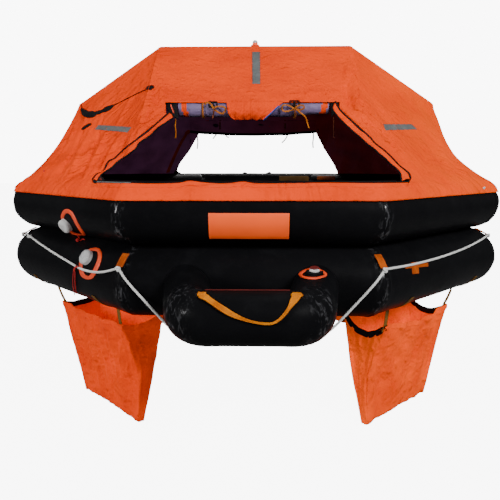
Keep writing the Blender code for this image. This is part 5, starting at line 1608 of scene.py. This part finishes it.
DOOR_EDGES = {
    (False, "left"): ([(169.2, 113.2), (168.1, 114.4), (160, 121.9), (152.5, 128.8), (145, 135), (137.5, 140.6),
    (127.5, 148.1), (118.8, 156.2), (115, 160), (110, 161.9), (107.5, 166.2), (104.4, 172.5), (97.5, 175.6),
    (93.4, 180.4)], [(173.2, 118.2), (172.5, 118.8), (165, 123.8), (157.5, 128.8), (150, 136.2), (140, 143.1),
    (136.2, 148.7), (132.5, 152.5), (121.2, 160), (112.5, 167.5), (103.8, 173.8), (100.4, 176.8), (97.6, 181.6)]),
    (False, "right"): ([(335.4, 103), (336.8, 106), (339.2, 110), (344.2, 115.6), (351.8, 122.5), (359.2, 130),
    (366.8, 135.6), (374.2, 144.4), (383, 151.2), (390.5, 158.1), (398, 166.2), (404.2, 171.2), (408.4, 175),
    (409.6, 179.6)], [(332.6, 109), (334.2, 112.5), (340.5, 120), (347, 126.4), (353, 131.9), (360.5, 138.1),
    (369.2, 146.2), (378, 153.1), (386.8, 161.2), (395.5, 168.8), (399.9, 173.8), (401, 181.6)]),
    (True, "left"): ([(158, 101), (93.5, 180)], [(165, 102), (99.6, 181)]),
    (True, "right"): ([(346, 101), (415, 180)], [(339.4, 102), (408.8, 181)]),
}
SILL_LINES = {
    False: [(97, 183.4), (131, 183.6), (152, 184.0), (175, 183.6), (183, 182.6), (190, 181.2), (203, 182.8),
    (216.4, 183.9), (230, 183.5), (243.6, 182.1), (258.8, 183.9), (300, 183.5), (330, 183.1), (365, 183.6),
    (390, 183.4), (408, 183.0)],
    True: [(97, 183.4), (150, 184), (200, 183.6), (217, 183.4), (226.5, 179), (236, 183.2), (262, 183.4),
    (270, 182), (279, 178.5), (284, 182.5), (300, 183.5), (350, 183.8), (408, 183)],
}
for (rear, where), edges in DOOR_EDGES.items():
    side = "rear" if rear else "front"
    first, second = [[seen(canopy_tree, spot.x, spot.y, rear) for spot in even_points(flowing(points, 1.5), 90)]
        for points in edges]
    rows = []
    for i, ((p, n), (q, m)) in enumerate(zip(first, second)):
        wave = 0.0012 * sin(i * 0.42) + 0.0020 * ripple(i * 0.13, 2.0, 5.0 if rear else 1.0)
        rows.append([p.lerp(q, share) + n * (0.0022 + 0.0050 * sin(pi * share) + wave * share)
            + (q - p).normalized() * wave * share for share in (k / 8 for k in range(9))])
    keep(grid_piece(f"door_strip_{where}_{side}", rows, ["canopy"], 0.0016, offset=0), "canopy_orange")
    for which, trim, radius in (("outer", [p + n * 0.0046 for p, n in first], 0.0042),
            ("inner", [row[-1] for row in rows], 0.0032)):
        round_cord(f"door_trim_{which}_{where}_{side}", trim, radius, "black", [n for _, n in first])


def closure_on(name, corners, rear):
    """The corner closure at one end of a roll, between four corners in the frame."""
    a, b, c, d = corners

    def place(i, j):
        x, y = ((a[n] * (1 - j / 8) + b[n] * j / 8) * (1 - i / 12) + (d[n] * (1 - j / 8) + c[n] * j / 8) * i / 12
            for n in (0, 1))
        return at_depth(x, y, -0.500 - 0.036 * i / 12 + 0.004 * ripple(i * 0.4, j * 0.4, 3.0), rear)

    keep(grid_piece(name, rows_of(13, 9, place), ["black"], 0.0020, offset=0))


def sill_hem(name, rear):
    """The hem folded over the cloth's edge along the sill."""
    spots = even_points(flowing(SILL_LINES[rear], 1.5), 200)

    def place(i, k):
        found, normal = seen(canopy_tree, spots[i].x, spots[i].y + 0.55 * k, rear)
        return found + normal * (0.0006 + 0.0018 * sin(pi * min(1, (k + 1) / 6)))

    keep(grid_piece(name, rows_of(200, 8, place), ["canopy"], 0.0014, offset=0), "canopy_orange")


for rear, side in ((False, "front"), (True, "rear")):
    closure_on(f"door_corner_left_{side}", [(164.6, 102.4), (176, 102.4), (179, 119.6), (168.6, 114.4)], rear)
    closure_on(f"door_corner_right_{side}", [(330, 101.2), (337.8, 101.2), (338.4, 110), (331.5, 117)], rear)
    sill_hem(f"sill_hem_{side}", rear)
for name, outline, finish, rise in (
        ("rear", [(92.6, 181.2), (96.5, 175.2), (101.5, 175.5), (104.8, 180.4), (96, 183.4)], "black", 0.004),
        ("black", [(92.6, 181.2), (97.5, 175.8), (101.5, 176.5), (104.4, 180.4), (96, 183.4)], "black", 0.004),
        ("orange", [(100.2, 179.8), (101.8, 178.8), (103.0, 180.8), (101.0, 181.2)], "maroon", 0.006)):
    pad_on(f"sill_corner_{name}", canopy_tree, outline, finish, rise, rear=name == "rear")
line = line_on(canopy_tree, [(97.5, 182.6), (112, 183.0), (131, 183.6)], 0.0030)
strap("sill_lining_edge", line, 0.0060, 0.0014, "tape")
line = line_on(canopy_tree, [(409.6, 179.6), (408.2, 182.2), (398, 182.8), (366, 182.9), (331, 182.6)], 0.0030)
round_cord("sill_trim_right", line, 0.0022, "black")
line = [at_depth(x, y, -0.548) for x, y in ((170.6, 104.6), (171.6, 107.4), (172.7, 110.2), (173.9, 113.2))]
round_cord("door_corner_piping", line, 0.0026, "ring", FRONT)


# Cloth drape over the middle of the front roll, with its piping

def drape_place(i, j):
    share, across = i / 24, j / 40
    x0, x1 = 226.5 + 2 * share + 6.5 * share ** 6, 284.5 - 21 * share ** 0.9
    y = 101.5 + 18.5 * share + 0.7 * ripple(across * 6, share, 2.0) * share
    belly = 0.030 * sin(pi * min(share * 0.9, 1))
    fold = 0.008 * ripple(across * 6, share * 1.6, 8.0) + 0.004 * ripple(across * 16 + share * 6, share * 3, 5.0)
    return at_depth(x0 + (x1 - x0) * across, y, -0.492 - belly - 0.006 - fold)


def hung_cloth(name, rows, finish, slot, **words):
    """A small loose cloth with a free edge."""
    thing = grid_piece(name, rows, [finish])
    thicken(thing, 0.0012, 0)
    keep(thing, slot)


rows = rows_of(25, 41, drape_place)
hung_cloth("roll_drape", rows, "canopy", "canopy_orange", flat=(0.25, 0.095), held="draped",
    rests_on=["front_door_cloth"])
round_cord("roll_drape_piping", [row[-1] for row in rows[6:]], 0.0026, "blue", FRONT)


# Ties round the rolls: straps, buckles and bows

def tie(name, x, middle, sign):
    outs = [Vector((0, sign * cos(2 * pi * i / 32) * 0.93, sin(2 * pi * i / 32) * 1.06)) for i in range(32)]
    line = [(Vector((x, middle.y, middle.z)) + out * 0.0335, out.normalized()) for out in outs]
    strap(name, line, 0.0085, 0.0016, "cord_dull", closed=True)


def bow_strap(name, points, depth, finish, rear):
    line = []
    for i, spot in enumerate(flowing(points, 1.0)):
        turn = 0.3 * sin(i * 0.4)
        line.append((at_depth(spot.x, spot.y, depth - 0.006 * sin(i * 0.55), rear),
            Vector((sin(turn), cos(turn) if rear else -cos(turn), 0.25)).normalized()))
    strap(name, line, 0.0074, 0.0014, finish)


def buckle(name, a, b, sign):
    corners = [(a + b) / 2 + Vector((abs(b.x - a.x) / 2 * dx, 0, abs(b.z - a.z) / 2 * dz)) for dx,
        dz in ((-1, 1), (1, 1), (1, -1), (-1, -1))]
    loop = even_points(corners, 28, closed=True)
    bar = even_points([corners[0].lerp(corners[1], 0.5), corners[2].lerp(corners[3], 0.5)], 4)
    keep(join_pieces(name, [sweep("frame", loop, round_section(0.0036, 8), ["black"], BACK * sign, closed=True),
        sweep("bar", bar, round_section(0.0040, 8), ["black"], BACK * sign)]))


# Part of the bow, its line in the frame, and how far it stands off the roll
BOWS = [
    ("left_loop_high", [(213.5, 108.8), (216, 107), (219.5, 106.4), (223, 106.8), (225.3, 108), (225.2, 110.6),
    (222.8, 113.8)], 0.008),
    ("left_loop_low", [(222.8, 113.8), (220, 113.2), (217, 111.4), (213.8, 109.4)], 0.012),
    ("left_over", [(204.9, 104.4), (206.6, 102.9), (209.6, 103), (212, 105.6), (213.6, 108.8)], 0.010),
    ("left_end", [(213.6, 109), (213.9, 112), (213.2, 115.4), (213, 118.4)], 0.008),
    ("right_loop_left", [(295, 109.2), (290.4, 106.4), (286.4, 105), (283, 105.6), (281.8, 108.2), (283.4, 111),
    (287.4, 111.3), (291, 110.2), (295, 109.2)], 0.008),
    ("right_loop_right", [(295, 108.8), (297, 106.6), (300, 105.3), (303.4, 105.8), (304, 108.2), (300.6, 109.8),
    (296, 109.2)], 0.010),
    ("right_end", [(295.2, 109.6), (295.4, 112.6), (296, 116)], 0.012),
]
ROLL_FACE = -0.520
for rear, side, sign, middle in ((False, "front", -1, roll_middles[0]), (True, "rear", 1, roll_middles[1])):
    for where, x in (("left", 202.8), ("right", 295)):
        tie(f"roll_tie_{where}_{side}", roll_places(rear, x)[0], middle, sign)
    for where, x0, y0, x1, y1 in (("left", 209, 102, 217, 107), ("right", 290, 101, 299, 106)):
        buckle(f"roll_buckle_{where}_{side}", at_depth(x0, y0, ROLL_FACE, rear), at_depth(x1, y1, ROLL_FACE, rear),
            sign)
    for part, points, deep in BOWS:
        bow_strap(f"bow_{part}_{side}", points, ROLL_FACE - deep, "cord_brown" if "end" in part else "cord_dull",
            rear)
for name, points, depth, finish, diameter in (
        ("bow_tail_right", [(296.4, 109.6), (302.4, 114.2), (305.6, 117.6), (307.4, 123), (308.8, 128)], -0.530,
        "yellow_cord", 0.0058),
        ("roll_end_left", [(175.6, 119), (175.2, 126), (175.8, 132), (175.4, 138)], -0.505, "yellow_cord", 0.0058),
        ("roll_end_right", [(333.6, 117), (334, 122), (333.6, 130), (334, 138)], -0.505, "cord_brown", 0.0050)):
    free_cord(name, [at_depth(x, y, depth - 0.004 * sin(i * 1.3)) for i, (x, y) in enumerate(points)], diameter,
        finish)
# The rear doorway's ties hang into view through the front one
for name, finish, points in (
        ("one", "black", [(197.6, 131), (197.4, 137), (197.8, 143), (197.2, 149)]),
        ("two", "maroon", [(217.4, 131), (216.4, 134.2), (214.6, 136.6), (213, 138.8)]),
        ("three", "black", [(225, 131), (225.8, 135), (227.2, 136.8), (229, 137.4)]),
        ("four", "maroon", [(288, 131), (287.2, 135.6), (285, 139.6), (281.8, 142.8)]),
        ("five", "black", [(313, 131), (313.4, 137), (312.8, 143), (313.2, 148)])):
    free_cord(f"rear_tie_{name}", [at_depth(x, y, 0.500) for x, y in points], 0.0080, finish)

# Inside: webbing patches on the rear tube, a dark valance and a seam of the left slope
pad_on("rear_patch_olive", skin_tree, [(279, 176), (309, 176), (309, 182.5), (279, 182.5)], "olive", 0.002,
    curved=False, beyond=0.3)
pad_on("rear_patch_brown", skin_tree, [(317, 176), (335, 176), (335, 180), (317, 180)], "patch", 0.002,
    curved=False, beyond=0.3)


def valance_place(i, j):
    """Dark cloth that hangs behind the rear roll, inside the doorway."""
    low = 131.6 + 0.5 * ripple(j * 0.12, 4.0) + 3.0 * sin(pi * j / 60) ** 0.8
    return at_depth(190 + 126 * j / 60, 121 + (low - 121) * i / 12, 0.452 + 0.010 * ripple(j * 0.2, i * 0.15, 6.0))


rows = rows_of(13, 61, valance_place)
hung_cloth("rear_valance", rows, "lining", None, flat=(0.83, 0.085), held="hung", rests_on=["canopy"])
strap("rear_valance_hem", rows[-1], 0.016, 0.0030, "black", FRONT)
found = [seen(canopy_tree, 190 - 22.5 * (i / 30) ** 0.72, 130 + 42 * (i / 30), beyond=-0.1) for i in range(31)]
strap("inner_seam_band", [(p + n * 0.004, n) for p, n in filter(None, found)], 0.026, 0.0016, "band")


# Lights, pale floor and backdrop

def area_light(name, place, target, size, power):
    light = bpy.data.lights.new(name, "AREA")
    light.shape = "RECTANGLE"
    light.size, light.size_y = size
    light.energy = power
    lamp = bpy.data.objects.new(name, light)
    lamp.location = place
    lamp.rotation_euler = (Vector(target) - Vector(place)).to_track_quat("-Z", "Y").to_euler()
    scene.collection.objects.link(lamp)


area_light("key", (2.7, -4.4, 2.9), (0.1, 0, 0.1), (1.3, 1.3), 270)
area_light("fill", (-4.0, -3.4, 1.5), (-0.2, 0, 0.1), (1.3, 1.3), 150)
area_light("top", (0.8, -0.6, 4.4), (0, -0.2, 0), (2.0, 2.0), 40)
area_light("back", (0.5, 4.8, 2.4), (0, 0, 0.4), (3.0, 2.0), 110)

world = bpy.data.worlds.new("studio")
scene.world = world
world.use_nodes = True
backdrop = world.node_tree.nodes["Background"]
backdrop.inputs["Color"].default_value = (1, 1, 1, 1)
backdrop.inputs["Strength"].default_value = 0.20
white = add_node(world.node_tree, "Background", {"Color": (1, 1, 1, 1), "Strength": 9.0})
seen_by_camera = add_node(world.node_tree, "LightPath").outputs["Is Camera Ray"]
either = add_node(world.node_tree, "MixShader", {0: seen_by_camera, 1: backdrop.outputs[0], 2: white.outputs[0]})
world.node_tree.links.new(either.outputs[0], world.node_tree.nodes["World Output"].inputs["Surface"])

FLOOR_Z = -0.566
ground = make_piece("ground", [(-30, -30, FLOOR_Z), (30, -30, FLOOR_Z), (30, 30, FLOOR_Z), (-30, 30, FLOOR_Z)],
    [(0, 1, 2, 3)], [])
paper = bpy.data.materials.new("pale_floor")
paper.use_nodes = True
tree = paper.node_tree
matt = tree.nodes["Principled BSDF"]
matt.inputs["Base Color"].default_value = (0.30, 0.30, 0.30, 1)
matt.inputs["Roughness"].default_value = 0.9
glow = add_node(tree, "Emission", {"Color": (1, 1, 1, 1), "Strength": 8.0})
lit = add_node(tree, "AddShader", {0: glow.outputs[0], 1: matt.outputs[0]})
seen_by_camera = add_node(tree, "LightPath").outputs["Is Camera Ray"]
shown = add_node(tree, "MixShader", {0: seen_by_camera, 1: matt.outputs[0], 2: lit.outputs[0]})
tree.links.new(shown.outputs[0], tree.nodes["Material Output"].inputs["Surface"])
ground.data.materials.append(paper)
